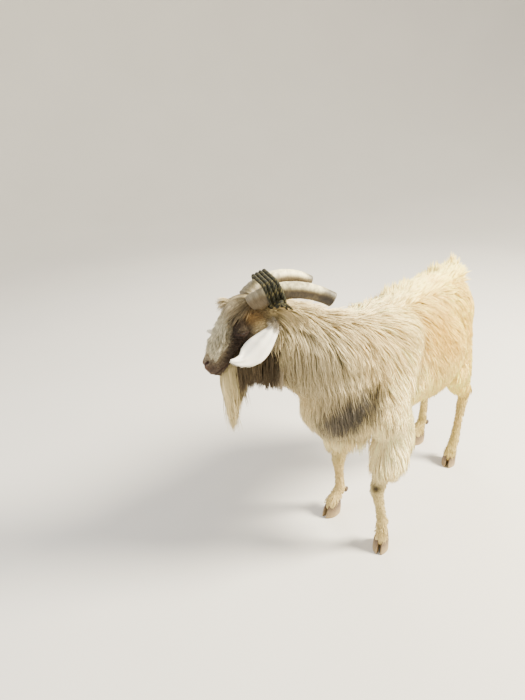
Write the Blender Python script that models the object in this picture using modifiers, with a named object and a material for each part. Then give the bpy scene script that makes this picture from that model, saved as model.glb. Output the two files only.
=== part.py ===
# Long-haired horned billy goat, standing, head turned to its right: life-size still model.
# Metres, +X forward, +Y the animal's left, +Z up, the soles on z = 0.
import math

import bmesh
import bpy
import numpy as np
from mathutils import Matrix, Vector
from mathutils.bvhtree import BVHTree
from mathutils.geometry import convex_hull_2d

# driving dimensions of the animal
WITHERS = 0.765            # skin height over the shoulders
CROUP = 0.750              # skin height over the hips
CHEST_WIDTH = 0.235
BARREL_WIDTH = 0.300
RUMP_WIDTH = 0.205
BRISKET_HEIGHT = 0.425
COAT_DEPTH = 0.034         # how far the lying coat stands off the skin
CORE_SHARE = 0.45          # part of the coat depth that the solid core fills
CORE = COAT_DEPTH * CORE_SHARE
GAP = 0.0003               # clearance between two touching parts
CORONET = 0.046            # height of the top of a hoof

# coat locks in the solids
LOCK_STEPS = 4
LOCK_THICK = 0.011
LOCK_EDGE = 0.0050         # how far the underside lies below the lock's middle
LOCK_SINK = 0.013          # how deep a root sits in the core
LOCK_ROOM = 0.094          # distance between roots
FLAT_ANGLES = (16, 13, 10, 7, 5, 3)    # degrees: faces that turn less are joined, first that fits
CREST_COUNT = 12
CREST_FRONT = 0.120
CREST_REAR = -0.265

# where the head sits: poll point, then turn to the right, nod and tilt
POLL = Vector((0.519, -0.173, 0.838))
HEAD_TURN = math.radians(30.0)
HEAD_NOD = math.radians(49.0)
HEAD_TILT = math.radians(3.5)
EYE_AT = Vector((0.070, 0.0475, 0.006))
EYE_RADIUS = 0.0135

# horns: a Bezier in head space for the left one, mirrored for the right
HORN_CURVE = [(0.000, 0.029, 0.012), (-0.026, 0.043, 0.010), (-0.108, 0.064, -0.018), (-0.126, 0.089, -0.128)]
HORN_BASE = (0.026, 0.021)
HORN_END = (0.018, 0.014)
ROPE_RADIUS = 0.0052
ROPE_TURNS = 4
ROPE_MIDDLE = 0.40        # place of the wrap along the horns
ROPE_PITCH = 0.0108

# legs: joints from the body down, x, y, z, then the toe-out angle in degrees
LEGS = {
    "foreleg_left": dict(elbow=(0.236, 0.096, 0.430), knee=(0.296, 0.088, 0.236),
                         fetlock=(0.274, 0.099, 0.090), hoof=(0.287, 0.106), toe=20),
    "foreleg_right": dict(elbow=(0.228, -0.096, 0.430), knee=(0.246, -0.089, 0.236),
                          fetlock=(0.222, -0.098, 0.090), hoof=(0.262, -0.106), toe=-8),
    "hindleg_left": dict(elbow=(-0.165, 0.084, 0.455), knee=(-0.322, 0.080, 0.275),
                         fetlock=(-0.284, 0.081, 0.088), hoof=(-0.252, 0.082), toe=12),
    "hindleg_right": dict(elbow=(-0.175, -0.084, 0.455), knee=(-0.345, -0.080, 0.268),
                          fetlock=(-0.338, -0.080, 0.088), hoof=(-0.303, -0.082), toe=-10),
}

COLOURS = {
    "coat": (0.74, 0.64, 0.47), "ear": (0.80, 0.76, 0.70), "horn": (0.52, 0.43, 0.32),
    "hoof": (0.14, 0.11, 0.08), "eye": (0.30, 0.17, 0.05), "rope": (0.06, 0.06, 0.04),
}
ROUGHNESS = {"coat": 0.85, "ear": 0.75, "horn": 0.55, "hoof": 0.6, "eye": 0.1, "rope": 0.9}

rng = np.random.default_rng(41)


def clear_scene():
    for item in list(bpy.data.objects):
        bpy.data.objects.remove(item, do_unlink=True)


def collection(name):
    made = bpy.data.collections.new(name)
    bpy.context.scene.collection.children.link(made)
    return made


def head_matrix():
    cy, sy = math.cos(HEAD_TURN), math.sin(HEAD_TURN)
    cp, sp = math.cos(HEAD_NOD), math.sin(HEAD_NOD)
    ahead = Vector((cp * cy, -cp * sy, -sp))
    side = Vector((sy, cy, 0.0))
    up = ahead.cross(side)
    left = side * math.cos(HEAD_TILT) + up * math.sin(HEAD_TILT)
    crown = up * math.cos(HEAD_TILT) - side * math.sin(HEAD_TILT)
    turn = Matrix((ahead, left, crown)).transposed().to_4x4()
    return Matrix.Translation(POLL) @ turn


HEAD = head_matrix()


def in_head(a, s, n):
    return HEAD @ Vector((a, s, n))


# mesh helpers

def object_from(bm, name, home):
    mesh = bpy.data.meshes.new(name)
    bmesh.ops.recalc_face_normals(bm, faces=bm.faces)
    bm.to_mesh(mesh)
    bm.free()
    made = bpy.data.objects.new(name, mesh)
    home.objects.link(made)
    return made


def bake(made, name):
    """Replace an object by its mesh with all modifiers applied."""
    depsgraph = bpy.context.evaluated_depsgraph_get()
    mesh = bpy.data.meshes.new_from_object(made.evaluated_get(depsgraph))
    mesh.name = name
    made.modifiers.clear()
    made.data = mesh
    return made


def bmesh_of(made):
    bm = bmesh.new()
    bm.from_mesh(made.data)
    return bm


def add_ball(bm, centre, radii, turn=None, detail=3):
    place = Matrix.Translation(Vector(centre))
    if turn is not None:
        place = place @ turn
    place = place @ Matrix.Diagonal((*radii, 1.0))
    bmesh.ops.create_icosphere(bm, subdivisions=detail, radius=1.0, matrix=place)


def add_limb(bm, start, end, start_radius, end_radius, detail=2):
    """A tapered capsule: the hull of a ball at each end."""
    limb = bmesh.new()
    add_ball(limb, start, (start_radius,) * 3, detail=detail)
    add_ball(limb, end, (end_radius,) * 3, detail=detail)
    hull = bmesh.ops.convex_hull(limb, input=limb.verts)
    inside = list({item for item in hull["geom_interior"] if isinstance(item, bmesh.types.BMVert)})
    bmesh.ops.delete(limb, geom=inside, context="VERTS")
    holder = bpy.data.meshes.new("limb")
    limb.to_mesh(holder)
    limb.free()
    bm.from_mesh(holder)
    bpy.data.meshes.remove(holder)


def add_loft(bm, rings, tip=False):
    """Skin between rings of equal count, with a flat cap or a closing point."""
    rows = [[bm.verts.new(point) for point in ring] for ring in rings]
    count = len(rows[0])
    for low, high in zip(rows[:-1], rows[1:]):
        for k in range(count):
            j = (k + 1) % count
            bm.faces.new((low[k], low[j], high[j], high[k]))
    bm.faces.new(list(reversed(rows[0])))
    if tip:
        middle = sum((vert.co for vert in rows[-1]), Vector()) / count
        reach = (middle - sum((vert.co for vert in rows[-2]), Vector()) / count) * 0.35
        point = bm.verts.new(middle + reach)
        for k in range(count):
            bm.faces.new((rows[-1][k], rows[-1][(k + 1) % count], point))
    else:
        bm.faces.new(rows[-1])


def remesh(made, voxel, smooth, triangles):
    """Fuse overlapping balls and limbs to one smooth skin of about that many triangles."""
    fuse = made.modifiers.new("fuse", "REMESH")
    fuse.mode = "VOXEL"
    fuse.voxel_size = voxel
    relax = made.modifiers.new("relax", "SMOOTH")
    relax.factor = 0.5
    relax.iterations = smooth
    bake(made, made.name)
    bm = bmesh_of(made)
    bmesh.ops.triangulate(bm, faces=bm.faces)
    count = len(bm.faces)
    bm.to_mesh(made.data)
    bm.free()
    thin = made.modifiers.new("thin", "DECIMATE")
    thin.ratio = min(1.0, triangles / count)
    bake(made, made.name)
    return made


def largest(bm):
    """Keep the biggest closed surface; tell how much else went."""
    left = set(bm.verts)
    islands = []
    while left:
        seed = left.pop()
        island = {seed}
        queue = [seed]
        while queue:
            vert = queue.pop()
            for edge in vert.link_edges:
                other = edge.other_vert(vert)
                if other in left:
                    left.remove(other)
                    island.add(other)
                    queue.append(other)
        islands.append(island)
    islands.sort(key=len, reverse=True)
    scraps = islands[1:]
    for island in scraps:
        bmesh.ops.delete(bm, geom=list(island), context="VERTS")
    return len(scraps)


def half(made, point, normal, name, home):
    """The part of a solid on the side that normal points to, half a gap off the plane."""
    point = Vector(point)
    normal = Vector(normal).normalized()
    bm = bmesh_of(made)
    cut = bmesh.ops.bisect_plane(bm, geom=list(bm.verts) + list(bm.edges) + list(bm.faces), dist=1e-6,
                                 plane_co=point + normal * GAP * 0.5, plane_no=normal, clear_inner=True)
    rim = [item for item in cut["geom_cut"] if isinstance(item, bmesh.types.BMEdge)]
    bmesh.ops.holes_fill(bm, edges=rim, sides=0)
    bmesh.ops.triangulate(bm, faces=bm.faces)
    largest(bm)
    return object_from(bm, name, home)


def boolean(made, others, kind, solver="MANIFOLD"):
    """One Boolean with a collection of closed meshes, applied; the others are removed."""
    if not others:
        return made
    group = collection("operands")
    for other in others:
        for owner in list(other.users_collection):
            owner.objects.unlink(other)
        group.objects.link(other)
    step = made.modifiers.new(kind, "BOOLEAN")
    step.operation = kind
    step.operand_type = "COLLECTION"
    step.collection = group
    step.solver = solver
    bake(made, made.name)
    for other in others:
        bpy.data.objects.remove(other, do_unlink=True)
    bpy.data.collections.remove(group)
    return made


def tidy(made):
    bm = bmesh_of(made)
    bmesh.ops.remove_doubles(bm, verts=bm.verts, dist=2e-6)
    bmesh.ops.dissolve_degenerate(bm, dist=2e-6, edges=bm.edges)
    bmesh.ops.triangulate(bm, faces=bm.faces)
    scraps = largest(bm)
    bm.to_mesh(made.data)
    count = len(bm.faces)
    bm.free()
    return count, scraps


def grown(made, name, home, reach=GAP * 1.3, rounds=60):
    """A copy whose faces all stand out by at least most of reach, to cut a neighbour clear."""
    bm = bmesh_of(made)
    bm.normal_update()
    moved = []
    for vert in bm.verts:
        step = vert.normal * reach
        faces = [face.normal.copy() for face in vert.link_faces]
        for count in range(rounds):
            short = [normal for normal in faces if step.dot(normal) < reach * 0.7]
            for normal in short:
                step += normal * max(0.0, reach * 0.8 - step.dot(normal))
            if not short:
                break
        moved.append(vert.co + step)
    for vert, place in zip(bm.verts, moved):
        vert.co = place
    return object_from(bm, name, home)


# trunk, neck and limbs

def body_core(home):
    """Skin of trunk, neck and limbs, thickened to the core of the coat."""
    bm = bmesh.new()
    coat = CORE
    add_ball(bm, (0.060, 0, 0.585), (0.270, CHEST_WIDTH / 2 + 0.012 + coat, 0.168 + coat))
    add_ball(bm, (-0.020, 0, 0.560), (0.200, BARREL_WIDTH / 2 + coat, 0.150 + coat))
    add_ball(bm, (0.215, 0, WITHERS - 0.158), (0.125, CHEST_WIDTH / 2 - 0.004 + coat, 0.158 + coat))
    add_ball(bm, (0.300, -0.005, BRISKET_HEIGHT + 0.100), (0.100 + coat, 0.088 + coat, 0.100 + coat * 0.5))
    add_ball(bm, (-0.195, 0, CROUP - 0.125), (0.125 + coat, RUMP_WIDTH / 2 + coat, 0.125 + coat))
    add_ball(bm, (-0.070, 0, CROUP - 0.095), (0.220, 0.090 + coat, 0.090 + coat))
    add_limb(bm, (0.250, -0.002, 0.645), (0.360, -0.050, 0.688), 0.105 + coat, 0.086 + coat * 0.7)
    add_limb(bm, (0.360, -0.050, 0.688), (0.470, -0.138, 0.752), 0.086 + coat * 0.7, 0.058 + coat * 0.3)
    add_limb(bm, (0.360, -0.050, 0.688), in_head(0.005, 0, -0.072), 0.080, 0.046)
    add_limb(bm, (0.330, -0.035, 0.600), (0.455, -0.125, 0.690), 0.095 + coat, 0.056 + coat * 0.6)
    add_ball(bm, (0.358, -0.040, 0.520), (0.070 + coat, 0.085 + coat, 0.085 + coat))
    add_limb(bm, (0.400, -0.085, 0.650), (0.508, -0.160, 0.712), 0.070 + coat, 0.034 + coat * 0.6)
    for name, leg in LEGS.items():
        side = math.copysign(1.0, leg["hoof"][1])
        elbow, knee, fetlock = (Vector(leg[key]) for key in ("elbow", "knee", "fetlock"))
        hoof = Vector((*leg["hoof"], CORONET))
        if name.startswith("fore"):
            add_limb(bm, (0.190, side * 0.070, 0.690), (0.290, side * 0.082, 0.520), 0.045 + coat, 0.055 + coat)
            add_limb(bm, (0.290, side * 0.082, 0.520), elbow, 0.055 + coat, 0.042 + coat)
            add_limb(bm, elbow, knee, 0.042 + coat * 0.6, 0.0235)
            add_limb(bm, knee, knee - Vector((0, 0, 0.022)), 0.0245, 0.0215)
            add_limb(bm, knee, fetlock, 0.0205, 0.0170)
        else:
            hip = Vector((-0.195, side * 0.048, 0.625))
            add_limb(bm, hip, elbow, 0.056 + coat, 0.046 + coat)
            add_limb(bm, Vector((-0.232, side * 0.052, 0.590)), elbow.lerp(knee, 0.45), 0.046 + coat, 0.038 + coat)
            add_limb(bm, elbow, knee + Vector((0.006, 0, 0.010)), 0.046 + coat * 0.6, 0.0230)
            add_limb(bm, knee, knee + Vector((-0.014, 0, 0.022)), 0.0230, 0.0165)
            add_limb(bm, knee, fetlock, 0.0225, 0.0172)
        add_limb(bm, fetlock, fetlock + (hoof - fetlock) * 0.1, 0.0215, 0.0205)
        add_limb(bm, fetlock, hoof - Vector((0, 0, 0.012)), 0.0190, 0.0225)
    made = object_from(bm, "core", home)
    return remesh(made, 0.0075, 6, 3800)


NECK_FRONT = (in_head(-0.018, 0, -0.020), (in_head(1.0, 0, 0.50) - in_head(0, 0, 0)).normalized())
NECK_ROOT = (Vector((0.325, -0.030, 0.690)), Vector((0.78, -0.30, 0.52)).normalized())
THROAT = -0.070            # how far under the head's axis the throat hair begins
FRONT_CUT = 0.130
REAR_CUT = -0.100
FORE_CUT = 0.418
THIGH_CUT = (Vector((-0.220, 0.030, 0.440)), Vector((0, 0.45, -0.89)).normalized())
KNEE_CUT = 0.236
HOCK_CUT = 0.262


def head_room(home):
    """The space ahead of the nape and above the throat, which the neck leaves to the head."""
    bm = bmesh.new()
    room = Matrix.Translation(Vector((0.10, 0, THROAT + 0.15))) @ Matrix.Diagonal((0.50, 0.40, 0.30, 1.0))
    bmesh.ops.create_cube(bm, size=1.0, matrix=HEAD @ room)
    block = object_from(bm, "room", home)
    room = half(block, NECK_FRONT[0] - NECK_FRONT[1] * GAP, NECK_FRONT[1], "room", home)
    bpy.data.objects.remove(block, do_unlink=True)
    return room


def split_core(core, home):
    """Node name to its piece of the core."""
    pieces = {"neck": half(core, *NECK_ROOT, "neck", home)}
    boolean(pieces["neck"], [head_room(home)], "DIFFERENCE")
    trunk = half(core, NECK_ROOT[0], -NECK_ROOT[1], "trunk", home)
    front = half(trunk, (FRONT_CUT, 0, 0), (1, 0, 0), "front", home)
    rest = half(trunk, (FRONT_CUT, 0, 0), (-1, 0, 0), "rest", home)
    pieces["chest"] = half(front, (0, 0, FORE_CUT), (0, 0, 1), "chest", home)
    pieces["barrel"] = half(rest, (REAR_CUT, 0, 0), (1, 0, 0), "barrel", home)
    back = half(rest, (REAR_CUT, 0, 0), (-1, 0, 0), "back", home)
    spare = [trunk, front, rest, back]
    groin, slope = THIGH_CUT
    mirror = Vector((1, -1, 1))
    upper = half(back, groin, -slope, "upper", home)
    pieces["rump"] = half(upper, groin * mirror, -slope * mirror, "rump", home)
    spare.append(upper)
    for name in LEGS:
        side = 1 if name.endswith("left") else -1
        flank = half(front if name.startswith("fore") else back, (0, 0, 0), (0, side, 0), "flank", home)
        if name.startswith("fore"):
            leg = half(flank, (0, 0, FORE_CUT), (0, 0, -1), "leg", home)
            joint = KNEE_CUT
        else:
            way = mirror if side < 0 else Vector((1, 1, 1))
            leg = half(flank, groin * way, slope * way, "leg", home)
            joint = HOCK_CUT
        pieces[name + "_upper"] = half(leg, (0, 0, joint), (0, 0, 1), name + "_upper", home)
        shin = half(leg, (0, 0, joint), (0, 0, -1), "shin", home)
        pieces[name + "_lower"] = half(shin, (0, 0, CORONET), (0, 0, 1), name + "_lower", home)
        spare += [flank, leg, shin]
    for item in spare:
        bpy.data.objects.remove(item, do_unlink=True)
    return pieces


# coat locks

def body_lie(place, normal):
    """The way the body hair runs: down and back, parted along the spine."""
    side = 1.0 if place.y > -0.45 * max(0.0, place.x - 0.28) else -1.0
    back = -0.42 if -0.18 < place.x < 0.30 else -0.08
    way = Vector((back, side * 0.80 * max(0.0, normal.z), -1.0))
    way -= normal * way.dot(normal)
    return way.normalized() if way.length > 0.05 else Vector((-1, 0, 0))


def comb(surface, lock, flow):
    """Path of one lock: out of the core, along it, and hanging where the core ends."""
    root, normal = lock["root"], lock["normal"]
    way = Matrix.Rotation(lock["sway"], 3, normal) @ flow(root, normal)
    path, normals = [root - normal * lock["sink"]], [normal]
    place = root.copy()
    for k in range(1, LOCK_STEPS + 1):
        share = k / LOCK_STEPS
        place = place + way * lock["length"] / LOCK_STEPS
        near, face, index, distance = surface.find_nearest(place)
        height = (place - near).dot(face)
        want = lock["thick"] * 0.7 + lock["lift"] * share ** 0.8
        free = min(1.0, max(0.0, height - want) / 0.02)
        if height < want:
            place = near + face * want
        else:
            place = place - face * (height - want) * 0.30 * lock["cling"]
        normals.append(normals[-1].lerp(face, 0.85 - 0.55 * free).normalized())
        path.append(place.copy())
        ahead = (path[-1] - path[-2]).normalized()
        fall = Vector((0, 0, -1.0)) * (0.15 + 0.5 * free) * lock["cling"]
        way = (ahead * 0.6 + flow(place, face) * (0.6 - 0.5 * free) + fall).normalized()
    lock["path"], lock["normals"] = path, normals
    return lock


def lock_object(lock, home):
    """One flat tapered lock with a flared root, four corners round."""
    path, normals = lock["path"], lock["normals"]
    last = len(path) - 1
    rings = []
    for k in range(last):
        share = k / last
        ahead = (path[k + 1] - path[max(k - 1, 0)]).normalized()
        across = ahead.cross(normals[k]).normalized()
        out = across.cross(ahead).normalized()
        wide = lock["width"] / 2 * (1.15 - 0.20 * share - 0.60 * share ** 3)
        thick = lock["thick"] / 2 * (1.30 - 0.80 * share)
        edge = LOCK_EDGE / 2
        corners = ((-1, -edge), (1, -edge), (0.55, thick), (-0.65, thick))
        ring = [path[k] + across * wide * u + out * v for u, v in corners]
        if k < 2:
            ring = [keep_side(point, lock["walls"]) for point in ring]
        rings.append(ring)
    rings.append([path[-1] + (point - path[last - 1]) * 0.10 for point in rings[-1]])
    bm = bmesh.new()
    add_loft(bm, rings)
    bmesh.ops.triangulate(bm, faces=bm.faces)
    return object_from(bm, "lock", home)


def keep_side(point, walls):
    """Hold a root corner on its own side of the cuts that bound its node."""
    for spot, normal in walls:
        depth = (point - spot).dot(normal) - GAP
        if depth < 0:
            point = point - normal * depth
    return point


def spread(core, rule, spacing, tries=7000):
    """Seeded lock roots over a core, no closer than the rule asks at each place."""
    mesh = core.data
    mesh.calc_loop_triangles()
    corners = np.array([[mesh.vertices[i].co for i in tri.vertices] for tri in mesh.loop_triangles])
    cross = np.cross(corners[:, 1] - corners[:, 0], corners[:, 2] - corners[:, 0])
    area = np.linalg.norm(cross, axis=1)
    pick = rng.choice(len(area), size=tries, p=area / area.sum())
    u, v = rng.random(tries), rng.random(tries)
    flip = u + v > 1
    u[flip], v[flip] = 1 - u[flip], 1 - v[flip]
    tri = corners[pick]
    points = tri[:, 0] + (tri[:, 1] - tri[:, 0]) * u[:, None] + (tri[:, 2] - tri[:, 0]) * v[:, None]
    kept = []
    for point, normal in zip(points, cross[pick] / area[pick][:, None]):
        lock = rule(Vector(point), Vector(normal))
        if lock and all((lock["root"] - other["root"]).length > spacing * lock["room"] for other in kept):
            kept.append(lock)
    return kept


def new_lock(root, normal, length, width, **more):
    lock = dict(root=root, normal=normal, length=length * rng.uniform(0.85, 1.15), thick=LOCK_THICK, lift=0.016,
                width=width * rng.uniform(0.85, 1.15), sway=rng.uniform(-0.22, 0.22), sink=LOCK_SINK,
                cling=1.0, room=1.0, walls=[])
    lock.update(more)
    return lock


def walls_of(name):
    """Cut planes round a node, each with a normal into it."""
    ahead, across, up = Vector((1, 0, 0)), Vector((0, 1, 0)), Vector((0, 0, 1))
    neck_spot, neck_way = NECK_ROOT
    groin, slope = THIGH_CUT
    mirror = Vector((1, -1, 1))
    front, rear = Vector((FRONT_CUT, 0, 0)), Vector((REAR_CUT, 0, 0))
    table = {
        "neck": [(neck_spot, neck_way)],
        "chest": [(neck_spot, -neck_way), (front, ahead), (Vector((0, 0, FORE_CUT)), up)],
        "barrel": [(front, -ahead), (rear, ahead)],
        "rump": [(rear, -ahead), (groin, -slope), (groin * mirror, -slope * mirror)],
    }
    if name in table:
        return table[name]
    side = 1 if "left" in name else -1
    if name.startswith("fore"):
        return [(Vector((0, 0, FORE_CUT)), -up), (Vector((0, 0, KNEE_CUT)), up)]
    way = Vector((1, side, 1))
    return [(groin * way, slope * way), (Vector((0, 0, HOCK_CUT)), up), (rear, -ahead)]


def body_rule(name):
    """Length, width and room of the locks of one body node, by place."""
    walls = walls_of(name)
    side = 1 if "left" in name else -1
    inner = name.endswith("upper")

    def rule(place, normal):
        if any((place - spot).dot(way) < 0.012 for spot, way in walls):
            return None
        if normal.z < (-0.8 if name == "chest" else -0.6) and not inner:
            return None
        if name == "neck":
            a, s, n = HEAD.inverted() @ place
            if (a > -0.05 and n > THROAT - 0.010) or normal.z < -0.75:
                return None
            top = normal.z > 0.35
            return new_lock(place, normal, 0.105 if top else 0.155, 0.058, walls=walls, room=0.90)
        if name == "chest":
            low = place.z < 0.50
            between = place.z < 0.48 and place.x > 0.17
            return new_lock(place, normal, 0.215 if between else 0.155, 0.066, walls=walls,
                            lift=0.022 if low else 0.016)
        if name == "barrel":
            low = place.z < 0.52
            return new_lock(place, normal, 0.155 if low else 0.140, 0.070, walls=walls, room=1.05)
        if name == "rump":
            if (place - Vector(TAIL_LINE[0][:3])).length < 0.055:
                return None
            rear = place.x < -0.23
            return new_lock(place, normal, 0.130, 0.068, walls=walls, room=1.05, lift=0.004 if rear else 0.012,
                            cling=2.2 if rear else 1.2)
        if normal.y * side < -0.2 or place.z < (0.272 if name.startswith("fore") else 0.375):
            return None
        if name.startswith("fore"):
            return new_lock(place, normal, 0.120, 0.052, walls=walls, room=0.52, lift=0.012, sink=0.009)
        return new_lock(place, normal, 0.100, 0.054, walls=walls, room=0.85, lift=0.003, sink=0.010,
                        cling=1.8)

    return rule


def crest(core, name):
    """Raised hair along the spine, set edge to edge like a low mane."""
    surface = BVHTree.FromObject(core, bpy.context.evaluated_depsgraph_get())
    walls = walls_of(name)
    locks = []
    for k in range(CREST_COUNT):
        share = k / (CREST_COUNT - 1)
        x = CREST_FRONT + (CREST_REAR - CREST_FRONT) * share
        side = 1 if k % 2 else -1
        root, normal, index, distance = surface.ray_cast(Vector((x, side * 0.012, 2.0)), Vector((0, 0, -1)))
        if root is None or any((root - spot).dot(way) < 0.010 for spot, way in walls):
            continue
        tall = 0.050 + 0.030 * math.sin(math.pi * min(1.0, share * 1.15 + 0.10))
        lean = Vector((-0.80, side * rng.uniform(0.05, 0.45), rng.uniform(0.40, 0.66))).normalized()
        lock = new_lock(root, normal, tall * rng.uniform(0.7, 1.1), 0.055, walls=walls)
        path = [root - normal * LOCK_SINK]
        for step in range(1, LOCK_STEPS + 1):
            part = step / LOCK_STEPS
            path.append(root + lean * lock["length"] * part + Vector((-0.014, side * 0.010, -0.010)) * part ** 2)
        lock["path"] = path
        lock["normals"] = [Vector((-0.30, side, 0.1)).normalized()] * len(path)
        locks.append(lock)
    return locks


def grow(core, name, spacing=LOCK_ROOM):
    """All locks of a body node, combed over the whole core."""
    surface = BVHTree.FromObject(core["whole"], bpy.context.evaluated_depsgraph_get())
    locks = [comb(surface, lock, body_lie) for lock in spread(core["piece"], body_rule(name), spacing)]
    if name in ("chest", "barrel", "rump"):
        locks += crest(core["piece"], name)
    return locks


def small_hair(core, flow, rule, spacing):
    """Locks on a small part, such as the beard, tail or forehead."""
    surface = BVHTree.FromObject(core, bpy.context.evaluated_depsgraph_get())
    return [comb(surface, lock, flow) for lock in spread(core, rule, spacing, 2500)]


def box_of(points, margin=0.002):
    low = Vector([min(p[i] for p in points) - margin for i in range(3)])
    high = Vector([max(p[i] for p in points) + margin for i in range(3)])
    return low, high


def boxes_meet(one, other):
    return all(one[0][i] < other[1][i] and other[0][i] < one[1][i] for i in range(3))


def fuse_locks(piece, locks, home, angles=FLAT_ANGLES):
    """Union of a core piece and its locks, then only the largest closed surface."""
    if not locks:
        return piece
    made = boolean(piece, [lock_object(lock, home) for lock in locks], "UNION")
    tidy(made)
    return thin_out(made, angles)


def closed(mesh):
    """Whether every edge has a face on each side and no face has shrunk to nothing."""
    bm = bmesh.new()
    bm.from_mesh(mesh)
    whole = all(edge.is_manifold for edge in bm.edges) and all(vert.is_manifold for vert in bm.verts)
    sound = all(face.calc_area() > 1e-10 for face in bm.faces)
    bm.free()
    return whole and sound


def thin_out(made, angles):
    """Join the nearly flat slivers that crossing locks leave, by the first angle that keeps it closed."""
    full = made.data.copy()
    for angle in angles:
        bm = bmesh.new()
        bm.from_mesh(full)
        bmesh.ops.dissolve_limit(bm, angle_limit=math.radians(angle), verts=bm.verts, edges=bm.edges)
        bmesh.ops.triangulate(bm, faces=bm.faces)
        bm.to_mesh(made.data)
        bm.free()
        if closed(made.data):
            return made
    made.data = full
    return made


def cut_clear(piece, others, home, reach=GAP * 0.85):
    """Cut the neighbours that this piece meets, a little grown, out of it."""
    own = box_of([vert.co for vert in piece.data.vertices])
    near = [other for other in others if boxes_meet(own, box_of([vert.co for vert in other.data.vertices]))]
    return boolean(piece, [grown(other, "clear", home, reach) for other in near], "DIFFERENCE")


# hooves and dewclaws

def claw(leg, outer, name, home):
    """One of the two claws of a hoof: a leaf-shaped sole under a smaller top."""
    side = math.copysign(1.0, leg["hoof"][1]) * outer
    bm = bmesh.new()
    length, width = 0.066, 0.0235
    cleft = 0.0011
    rings = []
    for height, grow, back in ((0.0, 1.0, 0.0), (0.020, 0.97, -0.004), (CORONET - GAP / 2, 0.80, -0.011)):
        ring = []
        for k in range(12):
            turn = 2 * math.pi * k / 12
            along = math.cos(turn)
            across = 0.5 + 0.5 * math.sin(turn)
            lean = 1.0 - 0.45 * max(0.0, along) ** 2
            ring.append(Vector((back + along * length * 0.5 * grow,
                                side * (cleft + across * width * grow * lean), height)))
        rings.append(ring)
    add_loft(bm, rings)
    turn = Matrix.Rotation(math.radians(leg["toe"]), 4, "Z")
    shift = Matrix.Translation(Vector((*leg["hoof"], 0)))
    bmesh.ops.transform(bm, matrix=shift @ turn, verts=bm.verts)
    return object_from(bm, name, home)


def dewclaw(leg, outer, lower, name, home):
    side = math.copysign(1.0, leg["hoof"][1]) * outer
    turn = Matrix.Rotation(math.radians(leg["toe"]), 4, "Z")
    fetlock = Vector(leg["fetlock"])
    at = fetlock + turn @ Vector((-0.021, side * 0.0105, -0.012))
    bm = bmesh.new()
    add_ball(bm, at, (0.0085, 0.0062, 0.0105), turn @ Matrix.Rotation(math.radians(-25), 4, "Y"), detail=1)
    made = object_from(bm, name, home)
    return boolean(made, [grown(lower, "clear", home)], "DIFFERENCE")


# head

FACE = [  # along the head, top, bottom, half width, narrowing of roof and of jaw
    (-0.012, 0.004, -0.052, 0.030, 0.10, 0.10),
    (-0.002, 0.024, -0.069, 0.048, 0.15, 0.20),
    (0.013, 0.041, -0.082, 0.058, 0.20, 0.30),
    (0.030, 0.050, -0.086, 0.061, 0.25, 0.42),
    (0.058, 0.053, -0.084, 0.057, 0.32, 0.50),
    (0.085, 0.052, -0.077, 0.048, 0.38, 0.52),
    (0.112, 0.047, -0.069, 0.039, 0.36, 0.50),
    (0.138, 0.040, -0.061, 0.033, 0.30, 0.45),
    (0.162, 0.032, -0.055, 0.030, 0.26, 0.40),
    (0.183, 0.025, -0.051, 0.0295, 0.24, 0.36),
    (0.200, 0.017, -0.046, 0.028, 0.28, 0.34),
    (0.212, 0.006, -0.038, 0.022, 0.30, 0.30),
    (0.218, -0.006, -0.026, 0.012, 0.20, 0.20),
]


def face_ring(station, sides=20):
    along, top, bottom, wide, roof, jaw = station
    ring = []
    for k in range(sides):
        turn = 2 * math.pi * k / sides
        up, across = math.sin(turn), math.cos(turn)
        narrow = 1.0 - roof * max(0.0, up) ** 2 - jaw * max(0.0, -up) ** 2
        square = math.copysign(abs(across) ** 0.85, across)
        middle, reach = (top + bottom) / 2, (top - bottom) / 2
        ring.append(in_head(along, wide * square * narrow, middle + reach * up))
    return ring


def skull(home):
    bm = bmesh.new()
    add_loft(bm, [face_ring(station) for station in FACE])
    return object_from(bm, "head", home)


def head_ball(name, at, radii, home, turn=None, detail=1):
    bm = bmesh.new()
    place = HEAD.to_3x3().to_4x4()
    if turn is not None:
        place = place @ turn
    add_ball(bm, in_head(*at), radii, place, detail)
    return object_from(bm, name, home)


def groove(name, points, radius, home):
    """A thin round cutter along points in head space."""
    bm = bmesh.new()
    for start, end in zip(points[:-1], points[1:]):
        add_limb(bm, in_head(*start), in_head(*end), radius, radius, detail=1)
    made = object_from(bm, name, home)
    return remesh(made, radius * 0.45, 1, 180)


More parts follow.
